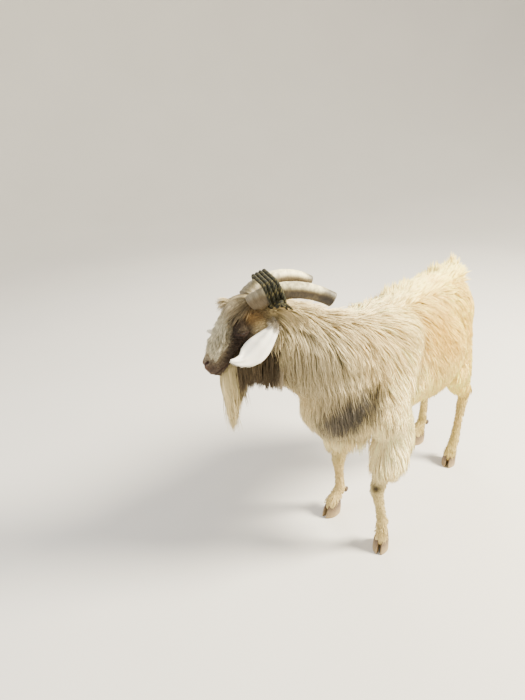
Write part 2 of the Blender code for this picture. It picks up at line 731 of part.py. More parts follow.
def head_solid(home):
    made = skull(home)
    added = []
    for side in (1, -1):
        a, s, n = EYE_AT
        added.append(head_ball("orbit", (a, side * (s - 0.0035), n), (0.0215, 0.0185, 0.0185), home, detail=2))
        added.append(head_ball("brow", (a - 0.008, side * (s - 0.006), n + 0.017), (0.027, 0.013, 0.011), home))
        added.append(head_ball("cheek", (0.040, side * 0.036, -0.045), (0.045, 0.024, 0.036), home, detail=2))
        added.append(head_ball("nostril_wing", (0.197, side * 0.014, 0.004), (0.016, 0.0125, 0.013), home))
        added.append(head_ball("lip_side", (0.190, side * 0.015, -0.014), (0.026, 0.0165, 0.012), home))
    added.append(head_ball("chin", (0.192, 0, -0.040), (0.022, 0.019, 0.014), home))
    boolean(made, added, "UNION")
    tidy(made)
    cut = []
    for side in (1, -1):
        a, s, n = EYE_AT
        cut.append(head_ball("socket", (a, side * s, n), (EYE_RADIUS + GAP,) * 3, home, detail=2))
        cut.append(head_ball("slit", (a + 0.001, side * (s + 0.011), n - 0.0008), (0.0120, 0.014, 0.0062), home))
        cut.append(head_ball("nostril", (0.207, side * 0.0145, 0.004), (0.0095, 0.0042, 0.0040), home,
                             Matrix.Rotation(side * math.radians(28), 4, "Z")))
    mouth = [(0.168, side_of, drop) for side_of, drop in ((0.033, -0.029),)]
    mouth += [(0.186, 0.0315, -0.026), (0.202, 0.0265, -0.0235), (0.214, 0.0165, -0.0215), (0.2195, 0.0, -0.020)]
    mirrored = [(a, -s, n) for a, s, n in reversed(mouth[:-1])]
    cut.append(groove("mouth", mouth + mirrored, 0.0018, home))
    boolean(made, cut, "DIFFERENCE")
    back = half(made, NECK_FRONT[0], NECK_FRONT[1], "head", home)
    bpy.data.objects.remove(made, do_unlink=True)
    return back


def eyeball(side, name, home):
    return head_ball(name, (EYE_AT.x, side * EYE_AT.y, EYE_AT.z), (EYE_RADIUS,) * 3, home, detail=2)


def bezier(points, t):
    a, b, c, d = (Vector(p) for p in points)
    u = 1 - t
    return a * u ** 3 + b * 3 * u * u * t + c * 3 * u * t * t + d * t ** 3


def horn_frame(side, t):
    """Centre, direction and the two radii axes of a horn in world space."""
    curve = [(a, side * s, n) for a, s, n in HORN_CURVE]
    at = HEAD @ bezier(curve, t)
    ahead = HEAD @ bezier(curve, t + 0.01) - HEAD @ bezier(curve, t - 0.01)
    ahead.normalize()
    across = HEAD.to_3x3() @ Vector((0, side, 0))
    across = (across - ahead * across.dot(ahead)).normalized()
    deep = ahead.cross(across) * side
    return at, ahead, across, deep


def horn_radii(t):
    ring = 1.0 + 0.035 * math.cos(t * 2 * math.pi * 9) * (1 - 0.5 * t)
    deep = (HORN_BASE[0] + (HORN_END[0] - HORN_BASE[0]) * t) * ring
    wide = (HORN_BASE[1] + (HORN_END[1] - HORN_BASE[1]) * t) * ring
    return deep, wide


def horn(side, name, home, skull_part):
    bm = bmesh.new()
    rings = []
    for t in [k / 14 for k in range(15)]:
        at, ahead, across, deep = horn_frame(side, t)
        long_radius, short_radius = horn_radii(t)
        ring = []
        for k in range(10):
            turn = 2 * math.pi * k / 10
            keel = 1.0 + 0.10 * max(0.0, math.sin(turn)) ** 3
            ring.append(at + across * short_radius * math.cos(turn) + deep * long_radius * keel * math.sin(turn))
        rings.append(ring)
    last = rings[-1]
    middle = sum(last, Vector()) / len(last)
    at, ahead, across, deep = horn_frame(side, 1.0)
    rings.append([middle + (point - middle) * 0.86 + ahead * 0.003 for point in last])
    add_loft(bm, rings)
    made = object_from(bm, name, home)
    return boolean(made, [grown(skull_part, "clear", home)], "DIFFERENCE")


# ears

EAR_LINE = [  # along, out and up in head space, width, thickness
    (0.012, 0.040, -0.026, 0.022, 0.016),
    (0.023, 0.066, -0.031, 0.030, 0.011),
    (0.040, 0.082, -0.031, 0.047, 0.0055),
    (0.060, 0.095, -0.032, 0.058, 0.0042),
    (0.084, 0.104, -0.034, 0.060, 0.0038),
    (0.104, 0.111, -0.031, 0.052, 0.0034),
    (0.119, 0.116, -0.022, 0.036, 0.0030),
    (0.129, 0.120, -0.008, 0.020, 0.0026),
    (0.136, 0.122, 0.008, 0.006, 0.0022),
]


def ear(side, name, home, skull_part):
    """A drooping leaf, cupped towards the cheek, its tip curled forward."""
    face = Vector((-0.10, 0.86, 0.50))
    centres = [Vector((a, s, n)) for a, s, n, wide, thick in EAR_LINE]
    rings = []
    for k, (a, s, n, wide, thick) in enumerate(EAR_LINE):
        ahead = (centres[min(k + 1, len(centres) - 1)] - centres[max(k - 1, 0)]).normalized()
        out = (face - ahead * face.dot(ahead)).normalized()
        width = ahead.cross(out)
        cup = wide * 0.20 * min(1.0, k / 2)
        outer, inner = [], []
        for j in range(6):
            u = -1 + 2 * j / 5
            sag = -cup * u * u
            skin = thick * 0.5 * math.sqrt(max(0.0, 1 - (0.93 * u) ** 2)) + 0.0003
            outer.append(centres[k] + width * (wide / 2) * u + out * (sag + skin))
            inner.append(centres[k] + width * (wide / 2) * u + out * (sag - skin))
        ring = outer + list(reversed(inner))
        rings.append([HEAD @ Vector((p.x, side * p.y, p.z)) for p in ring])
    bm = bmesh.new()
    add_loft(bm, rings)
    made = object_from(bm, name, home)
    boolean(made, [grown(skull_part, "clear", home)], "DIFFERENCE")
    fore = half(made, *NECK_FRONT, name, home)
    bpy.data.objects.remove(made, do_unlink=True)
    return fore


# beard and tail

BEARD_CUT = (in_head(0.160, 0, -0.052), (in_head(0.253, 0, -0.967) - in_head(0, 0, 0)).normalized())
BEARD_TIP = Vector((0.592, -0.197, 0.473))


def beard(home):
    """A flat wedge of hair hanging from the whole length of the chin."""
    bm = bmesh.new()
    for along, drop, radius in ((0.186, -0.044, 0.0095), (0.158, -0.050, 0.0120), (0.128, -0.060, 0.0095)):
        root = in_head(along, 0, drop)
        tip = BEARD_TIP.lerp(root, 0.25 + (0.186 - along) * 5)
        add_limb(bm, root, root.lerp(tip, 0.55), radius, radius * 0.9)
        add_limb(bm, root.lerp(tip, 0.55), tip, radius * 0.9, radius * 0.4)
    made = object_from(bm, "beard", home)
    remesh(made, 0.004, 3, 240)
    hung = half(made, *BEARD_CUT, "beard", home)
    bpy.data.objects.remove(made, do_unlink=True)
    return hung


def beard_locks(core):
    def rule(place, normal):
        if (place - BEARD_CUT[0]).dot(BEARD_CUT[1]) < 0.008 or place.z < 0.505:
            return None
        return new_lock(place, normal, 0.090, 0.027, thick=0.0065, sink=0.005, lift=0.004, room=1.0,
                        sway=rng.uniform(-0.1, 0.1), walls=[BEARD_CUT])

    return small_hair(core, lambda place, normal: Vector((0, 0, -1)), rule, 0.033)


def tail_locks(core):
    middle = Vector(TAIL_LINE[1][:3])

    def rule(place, normal):
        if place.z < 0.705:
            return None
        return new_lock(place, normal, 0.056, 0.030, thick=0.008, sink=0.007, lift=0.012, cling=0.3,
                        sway=rng.uniform(-0.2, 0.2))

    def flow(place, normal):
        out = (place - middle) * 3
        return Vector((-0.25 + out.x, out.y, 0.9)).normalized()

    return small_hair(core, flow, rule, 0.032)


def forelock(skull_part):
    """Tousled hair on the poll and forehead, raised and swept forward."""
    crown = HEAD.to_3x3()
    inverse = HEAD.inverted()

    def rule(place, normal):
        a, s, n = inverse @ place
        if n < 0.020 or a > 0.060 or a < 0.012 or abs(s) > 0.040:
            return None
        return new_lock(place, normal, 0.046, 0.026, thick=0.0070, sink=0.006, lift=0.016, cling=0.15,
                        sway=rng.uniform(-0.4, 0.4))

    def flow(place, normal):
        side = (inverse @ place).y
        return crown @ Vector((0.85, side * 9, 0.10)).normalized()

    return small_hair(skull_part, flow, rule, 0.026)


TAIL_LINE = [(-0.280, -0.004, 0.690, 0.028), (-0.305, -0.012, 0.722, 0.022), (-0.312, -0.018, 0.742, 0.012)]


def tail(home, rump):
    bm = bmesh.new()
    for start, end in zip(TAIL_LINE[:-1], TAIL_LINE[1:]):
        add_limb(bm, start[:3], end[:3], start[3], end[3])
    made = object_from(bm, "tail", home)
    remesh(made, 0.005, 3, 200)
    return boolean(made, [grown(rump, "clear", home)], "DIFFERENCE")


# rope on the horns

def rope_turn(index, name, home):
    """A closed turn of rope pulled tight round both horns."""
    reach = ROPE_RADIUS - 0.0004
    left, left_way = horn_frame(1, ROPE_MIDDLE)[:2]
    right, right_way = horn_frame(-1, ROPE_MIDDLE)[:2]
    across = (left - right).normalized()
    ahead = left_way + right_way
    ahead = (ahead - across * ahead.dot(across)).normalized()
    up = ahead.cross(across)
    centre = (left + right) / 2 + ahead * ROPE_PITCH * (index - (ROPE_TURNS - 1) / 2)
    flat = []
    for side in (1, -1):
        for t in [ROPE_MIDDLE + step * 0.01 for step in range(-24, 25)]:
            at, way, wide_axis, deep_axis = horn_frame(side, t)
            long_radius, short_radius = horn_radii(t)
            for k in range(24):
                turn = 2 * math.pi * k / 24
                point = at + wide_axis * (short_radius + reach) * math.cos(turn)
                point += deep_axis * (long_radius * 1.10 + reach) * math.sin(turn)
                off = point - centre
                if abs(off.dot(ahead)) < ROPE_RADIUS * 0.8:
                    flat.append((off.dot(across), off.dot(up)))
    hull = [flat[i] for i in convex_hull_2d(flat)]
    path = even_loop([Vector((x, y, 0)) for x, y in hull], 15)
    points = [centre + across * p.x + up * p.y for p in path]
    return tube(points, ROPE_RADIUS, 6, name, home, closed=True)


def rope_knot(home, near):
    """The knot that holds the turns, with a short frayed end."""
    left = horn_frame(1, ROPE_MIDDLE + 0.06)
    at = left[0] + left[2] * 0.021 + left[3] * 0.022
    bm = bmesh.new()
    count = 26
    loop = []
    for k in range(count):
        turn = 2 * math.pi * k / count
        x = math.sin(turn) + 2 * math.sin(2 * turn)
        y = math.cos(turn) - 2 * math.cos(2 * turn)
        loop.append(at + Vector((x, y, -math.sin(3 * turn) * 1.4)) * 0.0042)
    for a, b in zip(loop, loop[1:] + loop[:1]):
        add_limb(bm, a, b, ROPE_RADIUS, ROPE_RADIUS, detail=1)
    for lean, reach in ((0.0, 0.036), (0.35, 0.030), (-0.35, 0.028)):
        way = Vector((-0.72, 0.50 + lean, -0.40 + lean * 0.3)).normalized()
        add_limb(bm, at, at + way * reach, ROPE_RADIUS, ROPE_RADIUS * 0.45, detail=1)
    made = object_from(bm, "rope_knot", home)
    remesh(made, 0.0018, 1, 260)
    return boolean(made, [grown(item, "clear", home) for item in near], "DIFFERENCE")


def even_loop(points, count):
    lengths = [0.0]
    loop = points + [points[0]]
    for a, b in zip(loop[:-1], loop[1:]):
        lengths.append(lengths[-1] + (b - a).length)
    out = []
    for k in range(count):
        want = lengths[-1] * k / count
        i = max(j for j in range(len(points)) if lengths[j] <= want + 1e-12)
        span = lengths[i + 1] - lengths[i]
        out.append(loop[i].lerp(loop[i + 1], (want - lengths[i]) / span))
    return out


def tube(points, radius, sides, name, home, closed=False):
    """A rope stretch: a bevelled curve turned to a mesh."""
    curve = bpy.data.curves.new(name, "CURVE")
    curve.dimensions = "3D"
    curve.bevel_depth = radius
    curve.bevel_resolution = max(0, sides // 2 - 2)
    curve.use_fill_caps = not closed
    line = curve.splines.new("POLY")
    line.points.add(len(points) - 1)
    for spot, point in zip(line.points, points):
        spot.co = (*point, 1.0)
    line.use_cyclic_u = closed
    holder = bpy.data.objects.new(name, curve)
    home.objects.link(holder)
    depsgraph = bpy.context.evaluated_depsgraph_get()
    mesh = bpy.data.meshes.new_from_object(holder.evaluated_get(depsgraph))
    bpy.data.objects.remove(holder, do_unlink=True)
    made = bpy.data.objects.new(name, mesh)
    home.objects.link(made)
    bm = bmesh_of(made)
    bmesh.ops.remove_doubles(bm, verts=bm.verts, dist=1e-6)
    bmesh.ops.recalc_face_normals(bm, faces=bm.faces)
    bmesh.ops.triangulate(bm, faces=bm.faces)
    bm.to_mesh(mesh)
    bm.free()
    return made


# finish

def slot(name):
    made = bpy.data.materials.new(name)
    made.use_nodes = True
    shader = made.node_tree.nodes["Principled BSDF"]
    shader.inputs["Base Color"].default_value = (*COLOURS[name], 1.0)
    shader.inputs["Roughness"].default_value = ROUGHNESS[name]
    shader.inputs["Metallic"].default_value = 0.0
    return made


def finish(parts, home):
    slots = {name: slot(name) for name in COLOURS}
    for name, (made, kind) in parts.items():
        made.name = name
        made.data.name = name
        for owner in list(made.users_collection):
            owner.objects.unlink(made)
        home.objects.link(made)
        made.data.materials.clear()
        made.data.materials.append(slots[kind])
        made.data.shade_smooth()
    corners = [made.matrix_world @ vert.co for made, kind in parts.values() for vert in made.data.vertices]
    low = Vector([min(c[i] for c in corners) for i in range(3)])
    high = Vector([max(c[i] for c in corners) for i in range(3)])
    shift = Matrix.Translation(Vector((-(low.x + high.x) / 2, -(low.y + high.y) / 2, -low.z)))
    for made, kind in parts.values():
        made.data.transform(shift)
    print("shift", tuple(round(v, 5) for v in shift.translation), "size", tuple(round(v, 4) for v in high - low))


def build():
    clear_scene()
    work = collection("work")
    home = collection("goat")
    core = body_core(work)
    pieces = split_core(core, work)
    parts = {}
    whole_head = head_solid(work)
    head = half(whole_head, BEARD_CUT[0], -BEARD_CUT[1], "head", work)
    bpy.data.objects.remove(whole_head, do_unlink=True)
    for side, tag in ((1, "left"), (-1, "right")):
        parts["eye_" + tag] = (eyeball(side, "eye_" + tag, work), "eye")
        parts["horn_" + tag] = (horn(side, "horn_" + tag, work, head), "horn")
        parts["ear_" + tag] = (ear(side, "ear_" + tag, work, head), "ear")
    horns = [parts[name][0] for name in ("horn_left", "horn_right")]
    ropes = []
    for index in range(ROPE_TURNS):
        turn = boolean(rope_turn(index, "rope", work), [grown(item, "clear", work) for item in horns], "DIFFERENCE")
        ropes.append(turn)
        parts["rope_turn_%d" % (index + 1)] = (turn, "rope")
    knot = rope_knot(work, horns + ropes)
    parts["rope_knot"] = (knot, "rope")
    hard = horns + ropes + [knot] + [parts[name][0] for name in ("ear_left", "ear_right")]
    fuse_locks(head, forelock(head), work, angles=(7, 5, 3))
    boolean(head, [grown(item, "clear", work) for item in hard], "DIFFERENCE")
    parts["head"] = (head, "coat")
    chin = beard(work)
    parts["beard"] = (fuse_locks(chin, beard_locks(chin), work), "coat")
    dock = tail(work, pieces["rump"])
    parts["tail"] = (fuse_locks(dock, tail_locks(dock), work), "coat")

    settled = [dock, chin]
    order = ["neck", "chest", "barrel", "rump"]
    order += [name + "_upper" for name in LEGS] + [name + "_lower" for name in LEGS]
    for name in order:
        piece = pieces[name]
        locks = [] if name.endswith("lower") else grow({"whole": core, "piece": piece}, name)
        fuse_locks(piece, locks, work)
        cut_clear(piece, settled, work)
        if name == "neck":
            boolean(piece, [grown(item, "clear", work) for item in hard + [head]], "DIFFERENCE")
        tidy(piece)
        settled.append(piece)
        parts[name] = (piece, "coat")
        print("%-24s %3d locks" % (name, len(locks)))
    bpy.data.objects.remove(core, do_unlink=True)
    for name, leg in LEGS.items():
        for outer, tag in ((1, "outer"), (-1, "inner")):
            parts["%s_claw_%s" % (name, tag)] = (claw(leg, outer, "claw", work), "hoof")
            lower = pieces[name + "_lower"]
            parts["%s_dewclaw_%s" % (name, tag)] = (dewclaw(leg, outer, lower, "dewclaw", work), "hoof")
    total = 0
    for name, (made, kind) in parts.items():
        count, scraps = tidy(made)
        total += count
        print("%-30s %6d triangles %3d scraps" % (name, count, scraps))
    print("total", total, "in", len(parts), "nodes")
    finish(parts, home)
    bpy.data.collections.remove(work)


build()
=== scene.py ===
# Long-haired horned billy goat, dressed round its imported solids: skin, coat, head, horns, rope and hooves.
import math

import bmesh
import bpy
import numpy as np
from mathutils import Matrix, Vector
from mathutils.bvhtree import BVHTree
from mathutils.geometry import convex_hull_2d
from mathutils.kdtree import KDTree


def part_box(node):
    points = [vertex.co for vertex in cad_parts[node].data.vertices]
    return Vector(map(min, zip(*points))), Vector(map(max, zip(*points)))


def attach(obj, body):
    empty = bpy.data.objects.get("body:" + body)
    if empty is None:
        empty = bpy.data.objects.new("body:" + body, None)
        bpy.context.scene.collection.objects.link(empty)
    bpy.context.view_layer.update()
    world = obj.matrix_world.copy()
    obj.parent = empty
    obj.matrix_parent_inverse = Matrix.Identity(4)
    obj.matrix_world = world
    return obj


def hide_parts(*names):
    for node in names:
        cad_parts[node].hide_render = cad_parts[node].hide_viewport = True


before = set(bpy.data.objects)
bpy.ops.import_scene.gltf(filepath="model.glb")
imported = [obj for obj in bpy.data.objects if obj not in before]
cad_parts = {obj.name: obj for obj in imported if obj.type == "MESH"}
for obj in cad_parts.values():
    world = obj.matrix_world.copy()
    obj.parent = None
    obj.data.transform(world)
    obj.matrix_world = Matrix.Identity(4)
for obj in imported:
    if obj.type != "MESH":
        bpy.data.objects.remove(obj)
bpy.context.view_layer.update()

bpy.ops.object.select_all(action="DESELECT")
rng = np.random.default_rng(11)

# the same frame as the solids: sizes below are in the animal's own frame, moved to the row frame at the end
pose = dict(poll=(0.519, -0.173, 0.838), turn=30.0, nod=49.0, tilt=3.5, eyeAt=(0.070, 0.0475, 0.006),
            eyeSeat=(0.0715, 0.0472, -0.0002), eyeRadius=0.0135)


def headFrame():
    cy, sy = math.cos(math.radians(pose["turn"])), math.sin(math.radians(pose["turn"]))
    cp, sp = math.cos(math.radians(pose["nod"])), math.sin(math.radians(pose["nod"]))
    ahead = Vector((cp * cy, -cp * sy, -sp))
    side = Vector((sy, cy, 0.0))
    up = ahead.cross(side)
    tilt = math.radians(pose["tilt"])
    left = side * math.cos(tilt) + up * math.sin(tilt)
    crown = up * math.cos(tilt) - side * math.sin(tilt)
    return Matrix.Translation(Vector(pose["poll"])) @ Matrix((ahead, left, crown)).transposed().to_4x4()


headPlace = headFrame()
headTurn = np.array(headPlace.to_3x3())
headSpot = np.array(pose["poll"])
eyeLow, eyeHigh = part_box("eye_left")
shift = (Vector(eyeLow) + Vector(eyeHigh)) / 2 - headPlace @ Vector(pose["eyeAt"])


def inHead(a, s, n):
    return headPlace @ Vector((a, s, n))


def headToBody(points):
    return np.asarray(points) @ headTurn.T + headSpot


def bodyToHead(points):
    return (np.asarray(points) - headSpot) @ headTurn


def unit(vectors):
    return vectors / np.maximum(np.linalg.norm(vectors, axis=-1, keepdims=True), 1e-9)


def columns(*parts):
    return np.stack(np.broadcast_arrays(*parts), 1)


# the part of a direction that lies along the surface
def flatten(way, out):
    return way - out * np.sum(way * out, axis=-1, keepdims=True)


def smooth(low, high, value):
    t = np.clip((value - low) / (high - low), 0.0, 1.0)
    return t * t * (3 - 2 * t)


# sRGB hex to linear red, green and blue
def linear(hexCode):
    parts = [int(hexCode[i:i + 2], 16) / 255 for i in (1, 3, 5)]
    return np.array([c / 12.92 if c <= 0.04045 else ((c + 0.055) / 1.055) ** 2.4 for c in parts])


# soft random field from -1 to 1, with blobs of that size in metres
def blotch(points, size, seed):
    grid = np.random.default_rng(seed).uniform(-1, 1, (32, 32, 32))
    spot = points / size
    base = np.floor(spot).astype(int)
    part = spot - base
    part = part * part * (3 - 2 * part)
    total = np.zeros(len(points))
    for corner in range(8):
        step = np.array([corner & 1, corner >> 1 & 1, corner >> 2 & 1])
        weight = np.prod(np.where(step, part, 1 - part), axis=1)
        cell = (base + step) % 32
        total += weight * grid[cell[:, 0], cell[:, 1], cell[:, 2]]
    return total


# a random direction at each place, which turns slowly from place to place
def tousle(points, size, seed):
    return columns(*(blotch(points, size, seed + k) for k in range(3)))


def blend(colour, other, weight):
    weight = np.asarray(weight)
    weight = weight[:, None] if weight.ndim == 1 else weight
    return colour * (1 - weight) + other * weight


# both sides of the head laid on its left one
def foldSides(spots):
    return columns(spots[:, 0], np.abs(spots[:, 1]), spots[:, 2])


# markings, with painted shade and painted light among them, shared by skin and coat
coatColours = dict(
    cream="#FFDF7A", linen="#F6E2AA", pale="#FCEBB8", gold="#DAAE3A", sand="#E2C284", grey="#9C8F78", slate="#2C2C31",
    umber="#261B15", tan="#87683C", muzzle="#4D4037", pink="#6B4840", white="#EEE9DC", leg="#B09D64", taupe="#665942",
    nostril="#2A1713", lid="#35241E", ash="#BEB69C",
)
tone = {name: linear(code) for name, code in coatColours.items()}

# centre, half sizes, colour and strength, in the body frame
bodyMarks = [
    ((0.075, 0.140, 0.685), (0.085, 0.080, 0.085), "gold", 0.62),
    ((0.020, 0.140, 0.630), (0.085, 0.080, 0.075), "gold", 0.45),
    ((0.060, -0.140, 0.665), (0.095, 0.080, 0.090), "gold", 0.50),
    ((-0.170, 0.120, 0.630), (0.130, 0.090, 0.120), "gold", 0.25),
    ((-0.170, -0.120, 0.630), (0.130, 0.090, 0.120), "gold", 0.25),
    ((-0.310, 0.000, 0.540), (0.060, 0.140, 0.150), "gold", 0.35),
    ((0.415, 0.018, 0.482), (0.050, 0.042, 0.043), "slate", 1.90),
    ((0.392, 0.055, 0.520), (0.050, 0.040, 0.042), "slate", 1.80),
    ((0.372, 0.085, 0.562), (0.050, 0.034, 0.038), "slate", 1.10),
    # grey hair on the front of the neck and chest, made darker as painted shade where they face away from the light
    ((0.430, -0.010, 0.600), (0.090, 0.090, 0.120), "grey", 0.55),
    ((0.440, -0.060, 0.710), (0.120, 0.120, 0.120), "grey", 0.75),
    ((0.400, -0.050, 0.430), (0.070, 0.070, 0.040), "grey", 0.55),
    # painted light: the coat over the near foreleg made paler where it is lit
    ((0.280, 0.130, 0.380), (0.080, 0.060, 0.100), "pale", 0.90),
    # painted shade under the brisket, between the forelegs
    ((0.300, 0.000, 0.415), (0.100, 0.060, 0.030), "taupe", 0.70),
    # dark hair at the throat, deepened as painted shade under the jaw
    ((0.545, -0.115, 0.655), (0.060, 0.055, 0.045), "umber", 0.90),
    ((0.490, -0.105, 0.635), (0.060, 0.060, 0.045), "taupe", 0.60),
    ((0.322, 0.096, 0.247), (0.020, 0.020, 0.013), "umber", 1.10),
]
# the same in the head frame, both sides
headMarks = [
    # greyer hair of the forehead, darkened further as painted shade
    ((0.030, 0.020, 0.045), (0.055, 0.055, 0.035), "grey", 0.80),
    ((0.030, 0.048, 0.010), (0.050, 0.028, 0.040), "taupe", 1.20),
    ((-0.004, 0.052, -0.004), (0.040, 0.030, 0.044), "taupe", 0.80),
    # dark brown hair behind the eye, deepened as painted shade under the brow and horn
    ((0.036, 0.046, 0.024), (0.032, 0.022, 0.018), "umber", 0.55),
    ((0.031, 0.054, 0.004), (0.018, 0.022, 0.012), "tan", 0.80),
    ((0.018, 0.058, -0.012), (0.020, 0.026, 0.016), "tan", 0.60),
    # dark brown hair about the eye and in a band down the cheek, deepened as painted shade of the brow and horn
    ((0.063, 0.044, 0.019), (0.024, 0.022, 0.017), "umber", 1.15),
    ((0.088, 0.048, 0.006), (0.022, 0.020, 0.014), "umber", 0.90),
    ((0.094, 0.044, -0.010), (0.036, 0.026, 0.026), "umber", 1.50),
    ((0.076, 0.052, -0.008), (0.026, 0.022, 0.016), "umber", 1.20),
    ((0.120, 0.040, -0.022), (0.038, 0.026, 0.028), "umber", 1.50),
    ((0.152, 0.034, -0.034), (0.030, 0.026, 0.026), "umber", 1.40),
    ((0.150, 0.022, 0.006), (0.040, 0.016, 0.016), "grey", 0.60),
    # greyish brown muzzle, darkened further as painted shade
    ((0.206, 0.016, -0.010), (0.036, 0.046, 0.044), "muzzle", 1.15),
    ((0.180, 0.030, -0.034), (0.030, 0.030, 0.022), "muzzle", 1.10),
    ((0.210, 0.013, 0.008), (0.012, 0.010, 0.010), "pink", 0.65),
    # painted shade under the jaw and the chin
    ((0.120, 0.018, -0.060), (0.050, 0.022, 0.020), "umber", 0.65),
    ((0.060, 0.030, -0.078), (0.060, 0.040, 0.030), "umber", 0.75),
]


def mark(colour, points, centre, size, name, strength):
    off = (points - np.array(centre)) / np.array(size)
    return blend(colour, tone[name], np.minimum(strength * np.exp(-np.sum(off ** 2, axis=1) * 0.9), 0.97))


# colour of the hair at these places on the skin, in the body frame
def coatColour(points):
    x, y, z = points.T
    colour = blend(tone["cream"], tone["linen"], smooth(-0.12, 0.36, x))
    top = 0.30 * smooth(0.66, 0.80, z) * smooth(0.06, 0.02, np.abs(y)) * smooth(0.34, 0.20, x)
    cloud = 0.35 * smooth(-0.2, 0.8, blotch(points, 0.09, 3))
    for name, weight in (("pale", top), ("leg", 0.85 * smooth(0.34, 0.22, z)), ("sand", cloud)):
        colour = blend(colour, tone[name], weight)
    for values in bodyMarks:
        colour = mark(colour, points, *values)
    spots = foldSides(bodyToHead(points))
    a, s, n = spots.T
    close = a > -0.06
    # the head's hair greyer than the body's, and darker as painted shade
    colour = blend(colour, tone["grey"], 0.75 * smooth(0.02, 0.06, a) * (n > -0.10))
    for values in headMarks:
        colour[close] = mark(colour[close], spots[close], *values)
    bridge = smooth(0.042, 0.026, s) * smooth(0.05, 0.08, a) * smooth(0.176, 0.145, a) * (n > 0) * close
    return blend(colour, tone["ash"], 0.85 * bridge)


def newObject(name, data):
    made = bpy.data.objects.new(name, data)
    bpy.context.scene.collection.objects.link(made)
    return made


# a piece from points and faces of the body frame, set in the row frame
def meshPiece(name, points, faces, nodes=()):
    mesh = bpy.data.meshes.new(name)
    mesh.from_pydata([tuple(Vector(p) + shift) for p in points], [], [tuple(f) for f in faces])
    mesh.update()
    mesh.shade_smooth()
    piece = newObject(name, mesh)
    declare(piece, nodes)
    return piece


def declare(piece, nodes=()):
    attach(piece, "root")
    if nodes:
        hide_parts(*nodes)


def useOnly(piece):
    bpy.ops.object.select_all(action="DESELECT")
    piece.select_set(True)
    bpy.context.view_layer.objects.active = piece


def applyAll(piece):
    useOnly(piece)
    for step in list(piece.modifiers):
        bpy.ops.object.modifier_apply(modifier=step.name)


def addBall(bm, centre, radii, turn=None, detail=4):
    place = Matrix.Translation(Vector(centre))
    if turn is not None:
        place = place @ turn
    bmesh.ops.create_icosphere(bm, subdivisions=detail, radius=1.0, matrix=place @ Matrix.Diagonal((*radii, 1.0)))


def addLimb(bm, start, end, startRadius, endRadius, detail=3):
    part = bmesh.new()
    addBall(part, start, (startRadius,) * 3, detail=detail)
    addBall(part, end, (endRadius,) * 3, detail=detail)
    hull = bmesh.ops.convex_hull(part, input=part.verts)
    inside = list({item for item in hull["geom_interior"] if isinstance(item, bmesh.types.BMVert)})
    bmesh.ops.delete(part, geom=inside, context="VERTS")
    holder = bpy.data.meshes.new("limb")
    part.to_mesh(holder)
    part.free()
    bm.from_mesh(holder)
    bpy.data.meshes.remove(holder)


# faces of a tube of rows of points, capped at both ends
def loftFaces(rows, sides, close=True):
    faces = []
    for row in range(rows - 1):
        for k in range(sides):
            j = (k + 1) % sides
            a, b = row * sides, (row + 1) * sides
            faces.append((a + k, a + j, b + j, b + k))
    if close:
        faces.append(tuple(reversed(range(sides))))
        faces.append(tuple(range((rows - 1) * sides, rows * sides)))
    return faces


# merged doubles, and normals that point out of the closed shape
def outward(piece):
    bm = bmesh.new()
    bm.from_mesh(piece.data)
    bmesh.ops.remove_doubles(bm, verts=bm.verts, dist=1e-6)
    bmesh.ops.recalc_face_normals(bm, faces=bm.faces)
    bm.to_mesh(piece.data)
    bm.free()
    piece.data.shade_smooth()


# one colour per point, kept as an attribute that the material reads
def paint(piece, colours, name="coatTone"):
    layer = piece.data.color_attributes.new(name, "FLOAT_COLOR", "POINT")
    full = np.ones((len(piece.data.vertices), 4), dtype=np.float32)
    full[:, :3] = colours
    layer.data.foreach_set("color", full.ravel())


# one field of all items of a mesh, as rows
def readField(items, field, width, kind=np.float64):
    flat = np.empty(len(items) * width, dtype=kind)
    items.foreach_get(field, flat)
    return flat.reshape(-1, width)


def pointsOf(piece):
    return readField(piece.data.vertices, "co", 3) - np.array(shift)


# the piece's own unwrap, on which every tuft has its patch
def unwrap(piece, margin):
    useOnly(piece)
    piece.data.uv_layers.new(name="OFBake")
    bpy.ops.object.mode_set(mode="EDIT")
    bpy.ops.mesh.select_all(action="SELECT")
    bpy.ops.uv.smart_project(angle_limit=math.radians(66), island_margin=margin)
    bpy.ops.object.mode_set(mode="OBJECT")


# adds a node, sets its values and feeds its inputs
def addNode(tree, kind, settings=None, links=None):
    node = tree.nodes.new(kind)
    for name, value in (settings or {}).items():
        if isinstance(name, str) and hasattr(node, name) and name not in node.inputs:
            setattr(node, name, value)
        else:
            node.inputs[name].default_value = value
    for name, source in (links or {}).items():
        tree.links.new(source, node.inputs[name])
    return node


def newMaterial(name, roughness, specular=0.5, **more):
    made = bpy.data.materials.new(name)
    made.use_nodes = True
    shader = made.node_tree.nodes["Principled BSDF"]
    shader.inputs["Roughness"].default_value = roughness
    shader.inputs["Specular IOR Level"].default_value = specular
    for key, value in more.items():
        shader.inputs[key].default_value = value
    return made, made.node_tree, shader


def hex4(code):
    return (*linear(code), 1.0)


